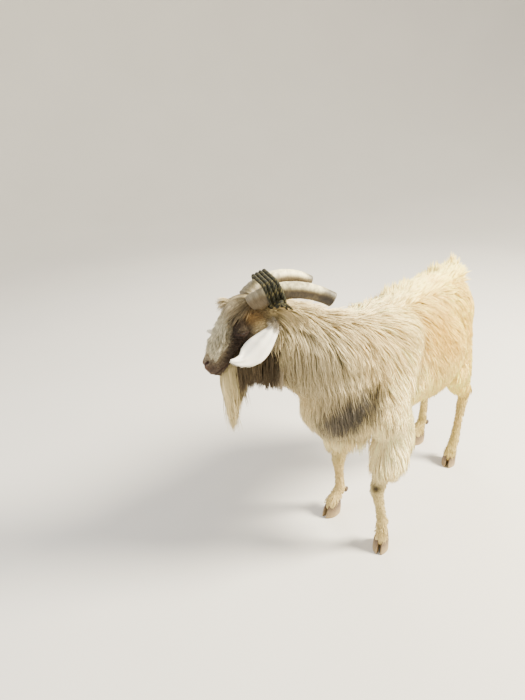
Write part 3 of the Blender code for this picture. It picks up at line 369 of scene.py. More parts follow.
# a material coloured by a painted attribute, with layers of noise: the first one varies the brightness,
# and those with bump settings roughen the surface; along names an attribute that the noise follows
def tonedMaterial(name, roughness, specular, attribute, layers, bright=None, along=None, **more):
    made, tree, shader = newMaterial(name, roughness, specular, **more)
    colour = addNode(tree, "ShaderNodeAttribute", dict(attribute_name=attribute)).outputs["Color"]
    if along:
        place = addNode(tree, "ShaderNodeAttribute", dict(attribute_name=along)).outputs["Vector"]
    else:
        place = addNode(tree, "ShaderNodeTexCoord").outputs["Object"]
    normal = None
    for grain, bump in layers:
        height = addNode(tree, "ShaderNodeTexNoise", grain, {"Vector": place}).outputs["Fac"]
        if bright:
            level = addNode(tree, "ShaderNodeMapRange", bright, {"Value": height}).outputs["Result"]
            scale = addNode(tree, "ShaderNodeVectorMath", dict(operation="SCALE"), {"Vector": colour, "Scale": level})
            colour, bright = scale.outputs["Vector"], None
        if bump:
            feeds = {"Height": height, "Normal": normal} if normal else {"Height": height}
            normal = addNode(tree, "ShaderNodeBump", bump, feeds).outputs["Normal"]
    tree.links.new(colour, shader.inputs["Base Color"])
    if normal:
        tree.links.new(normal, shader.inputs["Normal"])
    return made


# goat hair: silky, with a soft long highlight and faint streaks along each tuft
hair = tonedMaterial("longGoatHair", 0.66, 0.14, "coatTone", [({"Scale": 160.0, "Detail": 2.0}, None)],
                     {"To Min": 0.86, "To Max": 1.12})
# short hair lying flat on the skin: fine grain about 1.5 mm long, drawn a little coarser to show
furLook = tonedMaterial("goatSkinWithShortHair", 0.75, 0.22, "coatTone",
                        [({"Scale": 420.0, "Detail": 3.0}, {"Strength": 0.55, "Distance": 0.0012}),
                         ({"Scale": 70.0, "Detail": 3.0}, {"Strength": 0.35, "Distance": 0.004})],
                        {"To Min": 0.78, "To Max": 1.16})


# skin: sizes of the forms under the coat, and the grids that melt them into one
build = dict(withers=0.765, croup=0.750, chestWidth=0.235, barrelWidth=0.300, rumpWidth=0.205, brisketHeight=0.425,
             coronet=0.046, bodyVoxel=0.0064, headVoxel=0.0019)
legs = {
    "foreleg_left": dict(elbow=(0.236, 0.096, 0.430), knee=(0.296, 0.088, 0.236), fetlock=(0.274, 0.099, 0.090),
                         hoof=(0.287, 0.106), toe=20),
    "foreleg_right": dict(elbow=(0.228, -0.096, 0.430), knee=(0.246, -0.089, 0.236), fetlock=(0.222, -0.098, 0.090),
                          hoof=(0.262, -0.106), toe=-8),
    "hindleg_left": dict(elbow=(-0.165, 0.084, 0.455), knee=(-0.322, 0.080, 0.275), fetlock=(-0.284, 0.081, 0.088),
                         hoof=(-0.252, 0.082), toe=12),
    "hindleg_right": dict(elbow=(-0.175, -0.084, 0.455), knee=(-0.345, -0.080, 0.268), fetlock=(-0.338, -0.080, 0.088),
                          hoof=(-0.303, -0.082), toe=-10),
}
tailLine = [(-0.262, -0.002, 0.690, 0.024), (-0.300, -0.012, 0.722, 0.014), (-0.306, -0.017, 0.742, 0.008)]


# trunk, neck, legs and dock as overlapping balls and limbs, without the coat
def bodyForms():
    bm = bmesh.new()
    w, c = build["withers"], build["croup"]
    addBall(bm, (0.060, 0, 0.585), (0.262, build["chestWidth"] / 2 + 0.012, 0.168))
    addBall(bm, (-0.020, 0, 0.560), (0.200, build["barrelWidth"] / 2, 0.150))
    addBall(bm, (0.215, 0, w - 0.158), (0.125, build["chestWidth"] / 2 - 0.004, 0.158))
    addBall(bm, (0.300, -0.005, build["brisketHeight"] + 0.100), (0.100, 0.088, 0.100))
    addBall(bm, (-0.195, 0, c - 0.125), (0.125, build["rumpWidth"] / 2, 0.125))
    addBall(bm, (-0.070, 0, c - 0.095), (0.220, 0.090, 0.090))
    addLimb(bm, (0.250, -0.002, 0.645), (0.360, -0.050, 0.688), 0.105, 0.086)
    addLimb(bm, (0.360, -0.050, 0.688), (0.470, -0.138, 0.752), 0.086, 0.058)
    addLimb(bm, (0.360, -0.050, 0.688), inHead(0.005, 0, -0.072), 0.080, 0.046)
    addLimb(bm, (0.330, -0.035, 0.600), (0.455, -0.125, 0.690), 0.095, 0.056)
    addLimb(bm, (0.440, -0.115, 0.745), inHead(0.020, 0, -0.035), 0.058, 0.046)
    addBall(bm, (0.358, -0.040, 0.520), (0.070, 0.085, 0.085))
    addLimb(bm, (0.400, -0.085, 0.650), (0.500, -0.155, 0.716), 0.066, 0.032)
    for start, end in zip(tailLine[:-1], tailLine[1:]):
        addLimb(bm, start[:3], end[:3], start[3], end[3])
    for name, leg in legs.items():
        side = math.copysign(1.0, leg["hoof"][1])
        elbow, knee, fetlock = (Vector(leg[key]) for key in ("elbow", "knee", "fetlock"))
        hoof = Vector((*leg["hoof"], build["coronet"]))
        if name.startswith("fore"):
            addLimb(bm, (0.190, side * 0.070, 0.690), (0.290, side * 0.082, 0.520), 0.045, 0.055)
            addLimb(bm, (0.290, side * 0.082, 0.520), elbow, 0.055, 0.042)
            addLimb(bm, elbow, knee, 0.040, 0.0220)
            addBall(bm, knee + Vector((0.002, 0, -0.006)), (0.0235, 0.0215, 0.026))
            addLimb(bm, knee - Vector((0, 0, 0.02)), knee.lerp(fetlock, 0.55), 0.0185, 0.0148)
            addLimb(bm, knee.lerp(fetlock, 0.55), fetlock, 0.0148, 0.0162)
        else:
            addLimb(bm, Vector((-0.195, side * 0.048, 0.625)), elbow, 0.056, 0.046)
            addLimb(bm, Vector((-0.232, side * 0.052, 0.590)), elbow.lerp(knee, 0.45), 0.046, 0.038)
            addLimb(bm, elbow, knee + Vector((0.006, 0, 0.010)), 0.044, 0.0205)
            addLimb(bm, elbow.lerp(knee, 0.55) + Vector((-0.020, 0, 0.004)), knee + Vector((-0.016, 0, 0.020)), 0.010, 0.0105)
            addBall(bm, knee, (0.0215, 0.0190, 0.0240))
            addLimb(bm, knee, knee.lerp(fetlock, 0.5), 0.0200, 0.0152)
            addLimb(bm, knee.lerp(fetlock, 0.5), fetlock, 0.0152, 0.0164)
        addBall(bm, fetlock + Vector((-0.002, 0, 0.002)), (0.0195, 0.0185, 0.0200))
        addLimb(bm, fetlock, hoof - Vector((0, 0, 0.010)), 0.0172, 0.0208)
    return bm


faceRows = [  # along the head, top, bottom, half width, narrowing of roof and of jaw
    (-0.012, 0.004, -0.052, 0.030, 0.10, 0.10), (-0.002, 0.024, -0.069, 0.048, 0.15, 0.20),
    (0.013, 0.041, -0.082, 0.058, 0.20, 0.30), (0.030, 0.050, -0.086, 0.061, 0.25, 0.42),
    (0.058, 0.053, -0.084, 0.057, 0.32, 0.50), (0.085, 0.052, -0.077, 0.048, 0.38, 0.52),
    (0.112, 0.047, -0.069, 0.039, 0.36, 0.50), (0.138, 0.040, -0.061, 0.033, 0.30, 0.45),
    (0.162, 0.032, -0.055, 0.030, 0.26, 0.40), (0.183, 0.025, -0.051, 0.0295, 0.24, 0.36),
    (0.200, 0.017, -0.046, 0.028, 0.28, 0.34), (0.212, 0.006, -0.038, 0.022, 0.30, 0.30),
    (0.218, -0.006, -0.026, 0.012, 0.20, 0.20),
]
faceTrim = 0.0010          # short hair stands this far off the face's skin
mouthLine = [(0.170, 0, -0.0345), (0.183, 0, -0.0299), (0.195, 0, -0.0258), (0.207, 0, -0.0236), (0.226, 0, -0.0205)]
nostrilLine = [(0.2125, 0.0075, 0.0000), (0.2080, 0.0115, 0.0070), (0.2010, 0.0160, 0.0115), (0.1925, 0.0185, 0.0125)]
lipGroove = [(0.2190, 0, -0.004), (0.2200, 0, -0.019)]
veinLine = [(0.095, 0.043, -0.016), (0.125, 0.038, -0.030), (0.150, 0.034, -0.036)]


def headForms():
    bm = bmesh.new()
    table = np.array(faceRows)
    along = np.interp(np.linspace(0, len(table) - 1, 49), np.arange(len(table)), table[:, 0])
    sides = 48
    rings = []
    for a in along:
        top, bottom, wide, roof, jaw = (np.interp(a, table[:, 0], table[:, k]) for k in range(1, 6))
        for k in range(sides):
            turn = 2 * math.pi * k / sides
            up, across = math.sin(turn), math.cos(turn)
            narrow = 1.0 - roof * max(0.0, up) ** 2 - jaw * max(0.0, -up) ** 2
            square = math.copysign(abs(across) ** 0.85, across)
            middle, reach = (top + bottom) / 2, (top - bottom) / 2 - faceTrim
            rings.append(bm.verts.new(inHead(a, (wide - faceTrim) * square * narrow, middle + reach * up)))
    for face in loftFaces(len(along), sides):
        bm.faces.new([rings[k] for k in face])
    turn = headPlace.to_3x3().to_4x4()
    a, s, n = pose["eyeSeat"]
    for side in (1, -1):
        for at, radii in (
            ((a, side * (s - 0.0030), n), (0.0215, 0.0185, 0.0185)),
            ((a - 0.011, side * (s - 0.007), n + 0.014), (0.020, 0.0155, 0.013)),
            ((a + 0.012, side * (s - 0.010), n - 0.012), (0.022, 0.010, 0.008)),
            ((0.040, side * 0.036, -0.045), (0.045, 0.024, 0.036)),
            ((0.100, side * 0.031, -0.018), (0.050, 0.010, 0.012)),
            ((0.197, side * 0.0135, 0.004), (0.016, 0.0118, 0.0125)),
            ((0.188, side * 0.0145, -0.013), (0.027, 0.0160, 0.0115)),
        ):
            addBall(bm, inHead(*at), radii, turn)
    addBall(bm, inHead(0.191, 0, -0.038), (0.022, 0.0185, 0.0135), turn)
    return bm


def objectFrom(bm, name):
    mesh = bpy.data.meshes.new(name)
    bmesh.ops.recalc_face_normals(bm, faces=bm.faces)
    bm.to_mesh(mesh)
    bm.free()
    return newObject(name, mesh)


def fuse(made, voxel, rounds):
    melt = made.modifiers.new("melt", "REMESH")
    melt.mode = "VOXEL"
    melt.voxel_size = voxel
    soften = made.modifiers.new("soften", "SMOOTH")
    soften.factor = 0.5
    soften.iterations = rounds
    applyAll(made)


def lineDistance(points, line):
    best = np.full(len(points), 9.0)
    for start, end in zip(line[:-1], line[1:]):
        start, end = np.array(start), np.array(end)
        way = end - start
        t = np.clip((points - start) @ way / (way @ way), 0, 1)
        best = np.minimum(best, np.linalg.norm(points - start - t[:, None] * way, axis=1))
    return best


# distance from the cut between the lips, seen from the side
def mouthDistance(points, rise=0.0):
    return lineDistance(points * np.array([1, 0, 1]), [(a, s, n + rise) for a, s, n in mouthLine])


eyeLids = dict(halfWide=0.0112, above=0.0020, below=0.0026, sink=0.0030, drop=0.0034)
eyeAhead = unit(np.array([0.76, 0.0, 0.65]))     # from the outer to the inner corner


# how far inside the gap between the lids a place of the head lies, and its offset from the eye's centre
def eyeOpening(folded):
    off = folded - np.array(pose["eyeSeat"])
    upward = np.array([-eyeAhead[2], 0.0, eyeAhead[0]])
    across, lift = off @ eyeAhead, off @ upward + eyeLids["drop"]
    bow = np.clip(1 - (across / eyeLids["halfWide"]) ** 2, 0, 1)
    return np.minimum(eyeLids["above"] * bow - lift, lift + eyeLids["below"] * bow), off, lift


def eyePlace(side):
    a, s, n = pose["eyeSeat"]
    return a, side * s, n


def ridge(height, width, distance):
    return height * np.exp(-(distance / width) ** 2)


# mouth, nostrils, lids and small folds, pushed into the head's skin
def shapeFace(made):
    bm = bmesh.new()
    bm.from_mesh(made.data)
    eye = [inHead(*eyePlace(side)) for side in (1, -1)]
    nose = [inHead(0.205, side * 0.014, 0.002) for side in (1, -1)]
    for spots, reach, cuts in ((eye, 0.0185, 3), (nose, 0.020, 2)):
        near = [edge for edge in bm.edges if min((edge.verts[0].co - spot).length for spot in spots) < reach]
        bmesh.ops.subdivide_edges(bm, edges=near, cuts=cuts, use_grid_fill=True)
    bmesh.ops.triangulate(bm, faces=bm.faces)
    bm.normal_update()
    points = bodyToHead(np.array([vert.co for vert in bm.verts]))
    normals = np.array([vert.normal for vert in bm.verts]) @ headTurn
    side = np.where(points[:, 1] >= 0, 1.0, -1.0)
    spots = foldSides(points)
    a, s, n = spots.T
    nostril = lineDistance(spots, nostrilLine)
    roof = smooth(0.030, 0.012, s) * smooth(0.03, 0.06, a) * smooth(0.185, 0.160, a)
    for height in (
        ridge(-0.0046, 0.0021, mouthDistance(spots)),            # cut between the lips
        ridge(0.0011, 0.0032, mouthDistance(spots, 0.0052)),     # upper lip
        ridge(-0.0085, 0.0036, nostril),
        ridge(0.0012, 0.0024, np.abs(nostril - 0.0062)),         # the nostril's rim
        ridge(-0.0014, 0.0012, lineDistance(spots, lipGroove)),
        -0.0064 * roof * (n > 0),                                # the bridge's long hair makes up for this
        ridge(0.0010, 0.0030, lineDistance(spots, veinLine)),
    ):
        points += normals * height[:, None]
    inside, off, lift = eyeOpening(spots)
    reach = np.linalg.norm(off, axis=1)
    near = (reach < 0.024) & (off[:, 1] > 0)
    push = smooth(-0.0005, 0.0005, inside) * near
    target = np.array(pose["eyeSeat"]) + off * ((pose["eyeRadius"] - eyeLids["sink"]) / np.maximum(reach, 1e-6))[:, None]
    sunk = blend(spots, target, push) * columns(1, side, 1)
    moved = np.where(near[:, None], sunk, points)
    upper = smooth(-0.002, 0.002, lift)
    lids = np.exp(-((inside + 0.0012) / 0.0012) ** 2) * (0.0008 + 0.0010 * upper)        # rim of the lids
    lids -= np.exp(-((inside + 0.0046) / 0.0010) ** 2) * (0.0006 + 0.0008 * upper)       # crease behind it
    lids += np.exp(-((inside + 0.0072) / 0.0016) ** 2) * 0.0010 * upper                  # fold over that
    moved += normals * (lids * (near & (push < 0.02)))[:, None]
    for vert, spot in zip(bm.verts, headToBody(moved)):
        vert.co = Vector(spot)
    bm.to_mesh(made.data)
    bm.free()


def makeSkin():
    body = objectFrom(bodyForms(), "skin")
    fuse(body, build["bodyVoxel"], 8)
    face = objectFrom(headForms(), "face")
    fuse(face, build["headVoxel"], 5)
    shapeFace(face)
    join = body.modifiers.new("join", "BOOLEAN")
    join.operation = "UNION"
    join.object = face
    join.solver = "MANIFOLD"
    applyAll(body)
    bpy.data.objects.remove(face, do_unlink=True)
    bm = bmesh.new()
    bm.from_mesh(body.data)
    bmesh.ops.triangulate(bm, faces=bm.faces)
    bm.to_mesh(body.data)
    bm.free()
    body.data.transform(Matrix.Translation(shift))
    body.data.shade_smooth()
    return body


skin = makeSkin()
print("skin", len(skin.data.polygons), "faces")
unwrap(skin, 0.002)
print("skin unwrapped")
fleshNodes = ["head", "neck", "chest", "barrel", "rump"] + [name + part for name in legs for part in ("_upper", "_lower")]
declare(skin, fleshNodes)
skinPoints = pointsOf(skin)
under = coatColour(skinPoints)
short = smooth(0.30, 0.22, skinPoints[:, 2]) + (bodyToHead(skinPoints)[:, 0] > 0.02)
under = under * np.where(short > 0.5, 0.92, 0.66)[:, None]      # darker under the long coat, as its depth is in shade
spots = foldSides(bodyToHead(skinPoints))
lidShade = np.exp(-(np.minimum(eyeOpening(spots)[0] + 0.0008, 0) / 0.0016) ** 2)
lidShade *= np.linalg.norm(spots - np.array(pose["eyeSeat"]), axis=1) < 0.022
# dark lid rims, and painted shade in the cut between the lips and in the nostrils
for name, weight in (
    ("lid", 0.95 * lidShade), ("nostril", 0.95 * np.exp(-(mouthDistance(spots) / 0.0022) ** 2)),
    ("nostril", 0.97 * np.exp(-(lineDistance(spots, nostrilLine) / 0.0050) ** 4)),
):
    under = blend(under, tone[name], weight)
paint(skin, under)
skin.data.materials.clear()
skin.data.materials.append(furLook)


# the field that combs the coat: distance to the skin and the way out of it
class SkinField:
    def __init__(self, points, piece):
        faces = readField(piece.data.polygons, "vertices", 3, np.int32)
        self.tree = BVHTree.FromPolygons(points.tolist(), faces.tolist())
        corner = points[faces]
        self.normals = unit(np.cross(corner[:, 1] - corner[:, 0], corner[:, 2] - corner[:, 0]))

    # distance to the skin, below zero inside it, and the way out
    def sample(self, points):
        nearest = self.tree.find_nearest
        hits = [nearest(spot) for spot in points.tolist()]
        at = np.array([hit[0][:] for hit in hits])
        normal = self.normals[np.array([hit[2] for hit in hits])]
        off = points - at
        sign = np.where(np.sum(off * normal, axis=1) >= 0, 1.0, -1.0)
        distance = np.linalg.norm(off, axis=1) * sign
        return distance, unit(off * sign[:, None] + normal * 0.004)


field = SkinField(skinPoints, skin)
print("comb field")


# seeded roots over a mesh, thicker where the weight is higher, with their normals and places on its unwrap
def skinSample(piece, points, count, weightOf):
    mesh = piece.data
    mesh.calc_loop_triangles()
    tris, loops = (readField(mesh.loop_triangles, key, 3, np.int32) for key in ("vertices", "loops"))
    uv = readField(mesh.uv_layers["OFBake"].data, "uv", 2)
    corner = points[tris]
    cross = np.cross(corner[:, 1] - corner[:, 0], corner[:, 2] - corner[:, 0])
    area = np.linalg.norm(cross, axis=1)
    middle = corner.mean(axis=1)
    normal = unit(cross)
    chance = area * weightOf(middle, normal)
    pick = rng.choice(len(area), size=count, p=chance / chance.sum())
    u, v = rng.random(count), rng.random(count)
    flip = u + v > 1
    u[flip], v[flip] = 1 - u[flip], 1 - v[flip]
    share = np.stack([1 - u - v, u, v], 1)
    roots = (corner[pick] * share[:, :, None]).sum(axis=1)
    rootUv = (uv[loops[pick]] * share[:, :, None]).sum(axis=1)
    return roots, normal[pick], rootUv


def onHead(points):
    spots = bodyToHead(points)
    under = np.where(spots[:, 0] < 0.125, -0.052, -0.092)
    return (spots[:, 0] + 0.5 * spots[:, 2] > -0.028) & (spots[:, 2] > under) & (spots[:, 0] > -0.03)


# paths that leave the root, lie along the skin and hang where it ends
def combStrands(roots, normals, flow, length, lift, steps, cling=0.30, fall=1.0, stand=0.0, depth=0.002):
    places = [roots - normals * depth]
    spot = roots + normals * 0.0008
    way = unit(flow(roots, normals) + normals * stand)
    fall = np.broadcast_to(np.asarray(fall, dtype=float), (len(roots),))[:, None]
    cling = np.broadcast_to(np.asarray(cling, dtype=float), (len(roots),))
    down = np.array([0, 0, -1.0])
    for k in range(1, steps + 1):
        share = k / steps
        spot = spot + way * (length / steps)[:, None]
        distance, out = field.sample(spot)
        want = lift * share ** 0.75
        push = np.where(distance < want, want - distance, (want - distance) * cling)
        spot = spot + out * push[:, None]
        places.append(spot)
        ahead = unit(places[-1] - places[-2])
        free = np.clip((distance - want) / 0.02, 0, 1)[:, None]
        way = unit(ahead * 0.6 + flow(spot, out) * (0.6 - 0.5 * free) + down * (0.15 + 0.5 * free) * fall)
    return np.stack(places, axis=1)


# draws the tips of neighbouring strands together into locks
def clump(paths, roots, share, tightness, spread=0.25):
    count = max(1, int(len(roots) * share))
    heads = rng.choice(len(roots), size=count, replace=False)
    tree = KDTree(count)
    for k, head in enumerate(heads):
        tree.insert(Vector(roots[head]), k)
    tree.balance()
    owner = np.array([heads[tree.find(Vector(root))[1]] for root in roots])
    steps = paths.shape[1]
    t = np.linspace(0, 1, steps)[None, :, None]
    pull = np.broadcast_to(np.asarray(tightness, dtype=float), (len(roots),))[:, None, None] * t ** 1.3
    offset = (roots - roots[owner])[:, None, :] * spread
    return paths * (1 - pull) + (paths[owner] + offset) * pull, owner


# a slow wave along each lock, shared by the strands of the lock
def wave(paths, owner, size, length, beat=0.055):
    t = np.linspace(0, 1, paths.shape[1])[None, :]
    phase = (owner * 0.618 % 1.0)[:, None] * 2 * math.pi
    ahead = unit(paths[:, -1] - paths[:, 0])
    side = unit(np.cross(ahead, np.array([0.3, 0.2, 1.0])))
    turns = (np.broadcast_to(length, (len(paths),)) / beat)[:, None]
    swing = np.sin(phase + t * turns * 2 * math.pi) * t * size
    return paths + side[:, None, :] * swing[:, :, None]


# brightness of each strand: a shade shared by its lock, from the lock's number, and a random one of its own
def lockTint(owner, depth, low, high, level=1.0):
    return (level + depth * np.sin(owner * 12.9898))[:, None] * rng.uniform(low, high, (len(owner), 1))


# the strand's patch on the unwrap, and how much brighter its tip is than its root: the darker root is painted shade
# deep in the coat
tuftPatch = 0.003
tuftShade = dict(long=(0.78, 1.00, 1.10), short=(0.90, 1.00, 1.06))


# all strands of one piece as closed three-sided tapered tufts in one mesh
def strandPiece(name, paths, outs, width, thick, tint, rootUv, nodes=(), colour=None, stray=0.0025):
    count, steps = paths.shape[:2]
    ahead = np.empty_like(paths)
    ahead[:, 1:-1] = paths[:, 2:] - paths[:, :-2]
    ahead[:, 0] = paths[:, 1] - paths[:, 0]
    ahead[:, -1] = paths[:, -1] - paths[:, -2]
    ahead = unit(ahead)
    side = unit(np.cross(ahead, outs[:, None, :]))
    up = np.cross(side, ahead)
    rings = steps - 1
    t = np.linspace(0, 1, steps)[:rings]
    profile = (0.80 + 0.35 * np.sin(np.minimum(t * 1.6, 1.0) * math.pi / 2)) * (1 - t ** 2.2 * 0.72)
    wide = np.broadcast_to(width, (count,))[:, None] * profile[None, :] / 2
    high = np.broadcast_to(thick, (count,))[:, None] * profile[None, :]
    base = paths[:, :rings]
    left = base - side[:, :rings] * wide[:, :, None]
    right = base + side[:, :rings] * wide[:, :, None]
    ridge = base + up[:, :rings] * high[:, :, None]
    body = np.stack([left, right, ridge], axis=2).reshape(count, rings * 3, 3)
    verts = np.concatenate([body, paths[:, -1:, :]], axis=1)
    per = rings * 3 + 1
    faces = [(2, 1, 0)]
    for r in range(rings - 1):
        for k in range(3):
            j = (k + 1) % 3
            a, b, c, d = r * 3 + k, r * 3 + j, r * 3 + 3 + j, r * 3 + 3 + k
            faces += [(a, b, c), (a, c, d)]
    top = (rings - 1) * 3
    faces += [(top + k, top + (k + 1) % 3, per - 1) for k in range(3)]
    pattern = np.array(faces)
    whole = (pattern[None] + (np.arange(count) * per)[:, None, None]).reshape(-1, 3)
    mesh = bpy.data.meshes.new(name)
    mesh.vertices.add(count * per)
    mesh.vertices.foreach_set("co", (verts.reshape(-1, 3) + np.array(shift)).ravel())
    mesh.loops.add(whole.size)
    mesh.loops.foreach_set("vertex_index", whole.ravel().astype(np.int32))
    mesh.polygons.add(len(whole))
    mesh.polygons.foreach_set("loop_start", np.arange(len(whole), dtype=np.int32) * 3)
    mesh.update(calc_edges=True)
    mesh.shade_smooth()
    ringOf = np.concatenate([np.repeat(np.arange(rings), 3), [rings]])
    cornerOf = np.concatenate([np.tile(np.arange(3), rings), [2]])
    patch = np.stack([cornerOf / 2 - 0.5, ringOf / rings - 0.5], 1) * tuftPatch
    spots = (rootUv[:, None, :] + patch[None]).reshape(-1, 2)
    layer = mesh.uv_layers.new(name="OFBake")
    layer.data.foreach_set("uv", spots[whole.ravel()].ravel())
    piece = newObject(name, mesh)
    if colour is None:
        off = np.random.default_rng(5).normal(0, stray, (count, 1, 3))
        shades = coatColour((paths + off).reshape(-1, 3)).reshape(count, steps, 3)
    else:
        shades = np.tile(colour[:, None, :], (1, steps, 1))
    ramp = np.interp(np.linspace(0, 1, steps), [0, 0.35, 1], tuftShade["long" if steps > 3 else "short"])
    shades = np.minimum(shades * tint[:, None, :] * ramp[None, :, None], 0.95)
    paint(piece, shades[:, ringOf].reshape(-1, 3))
    mesh.materials.append(hair)
    declare(piece, nodes)
    print(name, count, "tufts", len(whole), "triangles")


# signed distance from the line of the spine, which bends with the neck
def ridgeSide(points):
    return points[:, 1] + 0.62 * np.maximum(0.0, points[:, 0] - 0.27)


# down and back; swept back along the spine and the crest of the neck
def bodyFlow(points, out):
    x = points[:, 0]
    ridge = ridgeSide(points)
    side = np.tanh(ridge / 0.016)
    onTop = np.clip(out[:, 2], 0, 1)
    near = np.exp(-(ridge / 0.050) ** 2) * onTop
    back = 0.10 + 0.36 * smooth(-0.30, -0.16, x) * smooth(0.42, 0.26, x) + 1.3 * near
    turned = smooth(0.27, 0.34, x) * near
    way = columns(-back, side * 0.85 * onTop * (1 - 0.5 * near) + 0.7 * turned, -1.0)
    return unit(flatten(way, out) + np.array([-0.02, 0, 0]))


def coatFlow(points, out):
    way = bodyFlow(points, out)
    side = np.cross(out, way)
    return unit(way + side * (0.26 * blotch(points, 0.080, 21) + 0.16 * blotch(points, 0.030, 22))[:, None])


# long coat: locks and wisps are shares of the strands that lead the others, and stray mixes the markings' edges
coatValues = dict(strands=51000, width=0.0027, thick=0.0008, locks=0.018, lockPull=0.30, wisps=0.14, wispPull=0.44,
                  waveSize=0.0030, pieceLimit=8900, skirtEnd=0.268, stray=0.011)


# where the long coat grows: not on the face or the lower legs, thinner on hidden inner sides
def longWeight(middle, normal):
    x, y, z = middle.T
    fore = x > 0.08
    low = np.where(fore, smooth(0.285, 0.310, z), smooth(0.30, 0.37, z))
    inner = np.where((z < 0.42) & (normal[:, 1] * np.sign(y) < -0.1), 0.30, 1.0)
    weight = low * inner * ~onHead(middle)
    weight = weight * (1 + 0.8 * smooth(0.44, 0.38, z) * fore)
    return np.where(normal[:, 2] < -0.75, weight * 0.45, weight)


def coatLength(points, normals):
    x, y, z = points.T
    length = 0.064 + 0.048 * smooth(-0.10, 0.18, x)
    length += 0.020 * smooth(0.52, 0.44, z) * smooth(0.16, 0.22, x)
    length -= 0.022 * smooth(0.5, 0.9, normals[:, 2]) * smooth(0.30, 0.15, x)
    length -= 0.045 * smooth(0.10, 0.04, np.linalg.norm(bodyToHead(points) - np.array([-0.02, 0, -0.03]), axis=1) - 0.05)
    skirt = (z < 0.47) & (x > 0.16)
    length = np.where(skirt, np.clip((z - coatValues["skirtEnd"]) * 1.06, 0.020, 0.140), length)
    thigh = (z < 0.47) & (x < -0.05)
    length = np.where(thigh, np.clip(z - 0.30, 0.0, 0.05) + 0.018, length)
    length = np.where((normals[:, 2] < -0.6) & ~skirt & ~thigh, length * 0.55, length)
    return np.maximum(length, 0.018)


def coatLift(points, normals):
    x, y, z = points.T
    lift = 0.016 + 0.012 * smooth(-0.05, 0.22, x) + 0.010 * smooth(0.5, 0.9, normals[:, 2])
    lift = np.where((z < 0.47) & (x > 0.16), 0.030, lift)
    return np.where((z < 0.44) & (x < -0.05), 0.011, lift)


roots, normals, rootUv = skinSample(skin, skinPoints, coatValues["strands"], longWeight)
edge = 0.020 * blotch(roots, 0.03, 61)
away = unit(np.array([0.78, -0.30, 0.52]))        # the neck's coat is a piece of its own ahead of this line
neckSide = (roots - np.array([0.325, -0.030, 0.690])) @ away + edge
isLeg = roots[:, 2] < 0.415 + edge
trunk = np.where(neckSide > 0, 0, np.where(roots[:, 0] > 0.130 + edge, 1, np.where(roots[:, 0] > -0.10 + edge, 2, 3)))
region = np.where(isLeg, np.where(roots[:, 0] > 0.05, 4, 5), trunk)
for index, (name, steps) in enumerate((("coatNeck", 4), ("coatChest", 4), ("coatBarrel", 3), ("coatRump", 3),
                                       ("coatForelegs", 4), ("coatThighs", 3))):
    chosen = np.flatnonzero(region == index)
    at, out = roots[chosen], normals[chosen]
    length = coatLength(at, out) * rng.uniform(0.72, 1.12, len(at))
    lift = coatLift(at, out) * rng.uniform(0.10, 1.0, len(at)) ** 0.9
    stand = 0.20 + 0.55 * smooth(0.5, 0.9, out[:, 2:]) * smooth(0.30, 0.10, at[:, :1])
    cling = np.where((at[:, 2] < 0.47) & (at[:, 0] > 0.16), 0.0, 0.30)
    paths = combStrands(at, out, coatFlow, length, lift, steps, cling=cling, stand=stand)
    paths, owner = clump(paths, at, coatValues["locks"], coatValues["lockPull"], spread=0.5)
    paths, wisp = clump(paths, at, coatValues["wisps"], coatValues["wispPull"], spread=0.3)
    paths = wave(paths, owner, coatValues["waveSize"], length)
    tint = lockTint(wisp, 0.09, 0.86, 1.10, 1 + 0.05 * np.sin(owner * 7.13))
    wide = coatValues["width"] * rng.uniform(0.7, 1.25, len(at))
    parts = max(1, math.ceil(len(at) / coatValues["pieceLimit"]))
    for part in range(parts):
        pick = slice(part, None, parts)
        label = name if parts == 1 else name + "ABC"[part]
        strandPiece(label, paths[pick], out[pick], wide[pick], coatValues["thick"], tint[pick], rootUv[chosen][pick],
                    stray=coatValues["stray"])


# crest along the spine
crestValues = dict(strands=4600, front=0.22, rear=-0.285, length=0.062, width=0.0022, thick=0.0008, lift=0.018)


def crestWeight(middle, normal):
    x, y = middle[:, 0], middle[:, 1]
    along = smooth(crestValues["rear"], -0.25, x) * smooth(crestValues["front"], 0.12, x)
    return (normal[:, 2] > 0.3) * smooth(0.050, 0.015, np.abs(y)) * along


def crestFlow(points, out):
    return unit(columns(-0.80, points[:, 1] * 9, 0.36) + 0.45 * tousle(points, 0.022, 31))


roots, normals, rootUv = skinSample(skin, skinPoints, crestValues["strands"], crestWeight)
length = crestValues["length"] * rng.uniform(0.5, 1.3, len(roots)) * (1 - 0.5 * smooth(-0.20, -0.27, roots[:, 0]))
paths = combStrands(roots, normals, crestFlow, length, crestValues["lift"], 3, cling=0.0, fall=0.22, stand=0.45)
paths, owner = clump(paths, roots, 0.12, 0.45)
strandPiece("coatCrest", paths, normals, crestValues["width"], crestValues["thick"], lockTint(owner, 0, 0.9, 1.10), rootUv)


# tail
tailValues = dict(strands=1300, length=0.066, width=0.0024, thick=0.001, lift=0.01)


def tailWeight(middle, normal):
    return (np.linalg.norm(middle - tailMiddle, axis=1) < 0.045) * (middle[:, 2] > 0.70)


def tailFlow(points, out):
    off = points - tailMiddle
    return unit(columns(-0.20 + off[:, 0] * 4, off[:, 1] * 6, 0.95))


tailMiddle = np.array(tailLine[1][:3])
roots, normals, rootUv = skinSample(skin, skinPoints, tailValues["strands"], tailWeight)
length = tailValues["length"] * rng.uniform(0.55, 1.1, len(roots))
paths = combStrands(roots, normals, tailFlow, length, tailValues["lift"], 4, cling=0.0, fall=0.30)
paths, owner = clump(paths, roots, 0.08, 0.6)
strandPiece("tailHair", paths, normals, tailValues["width"], tailValues["thick"], lockTint(owner, 0, 0.92, 1.10), rootUv,
            nodes=("tail",))


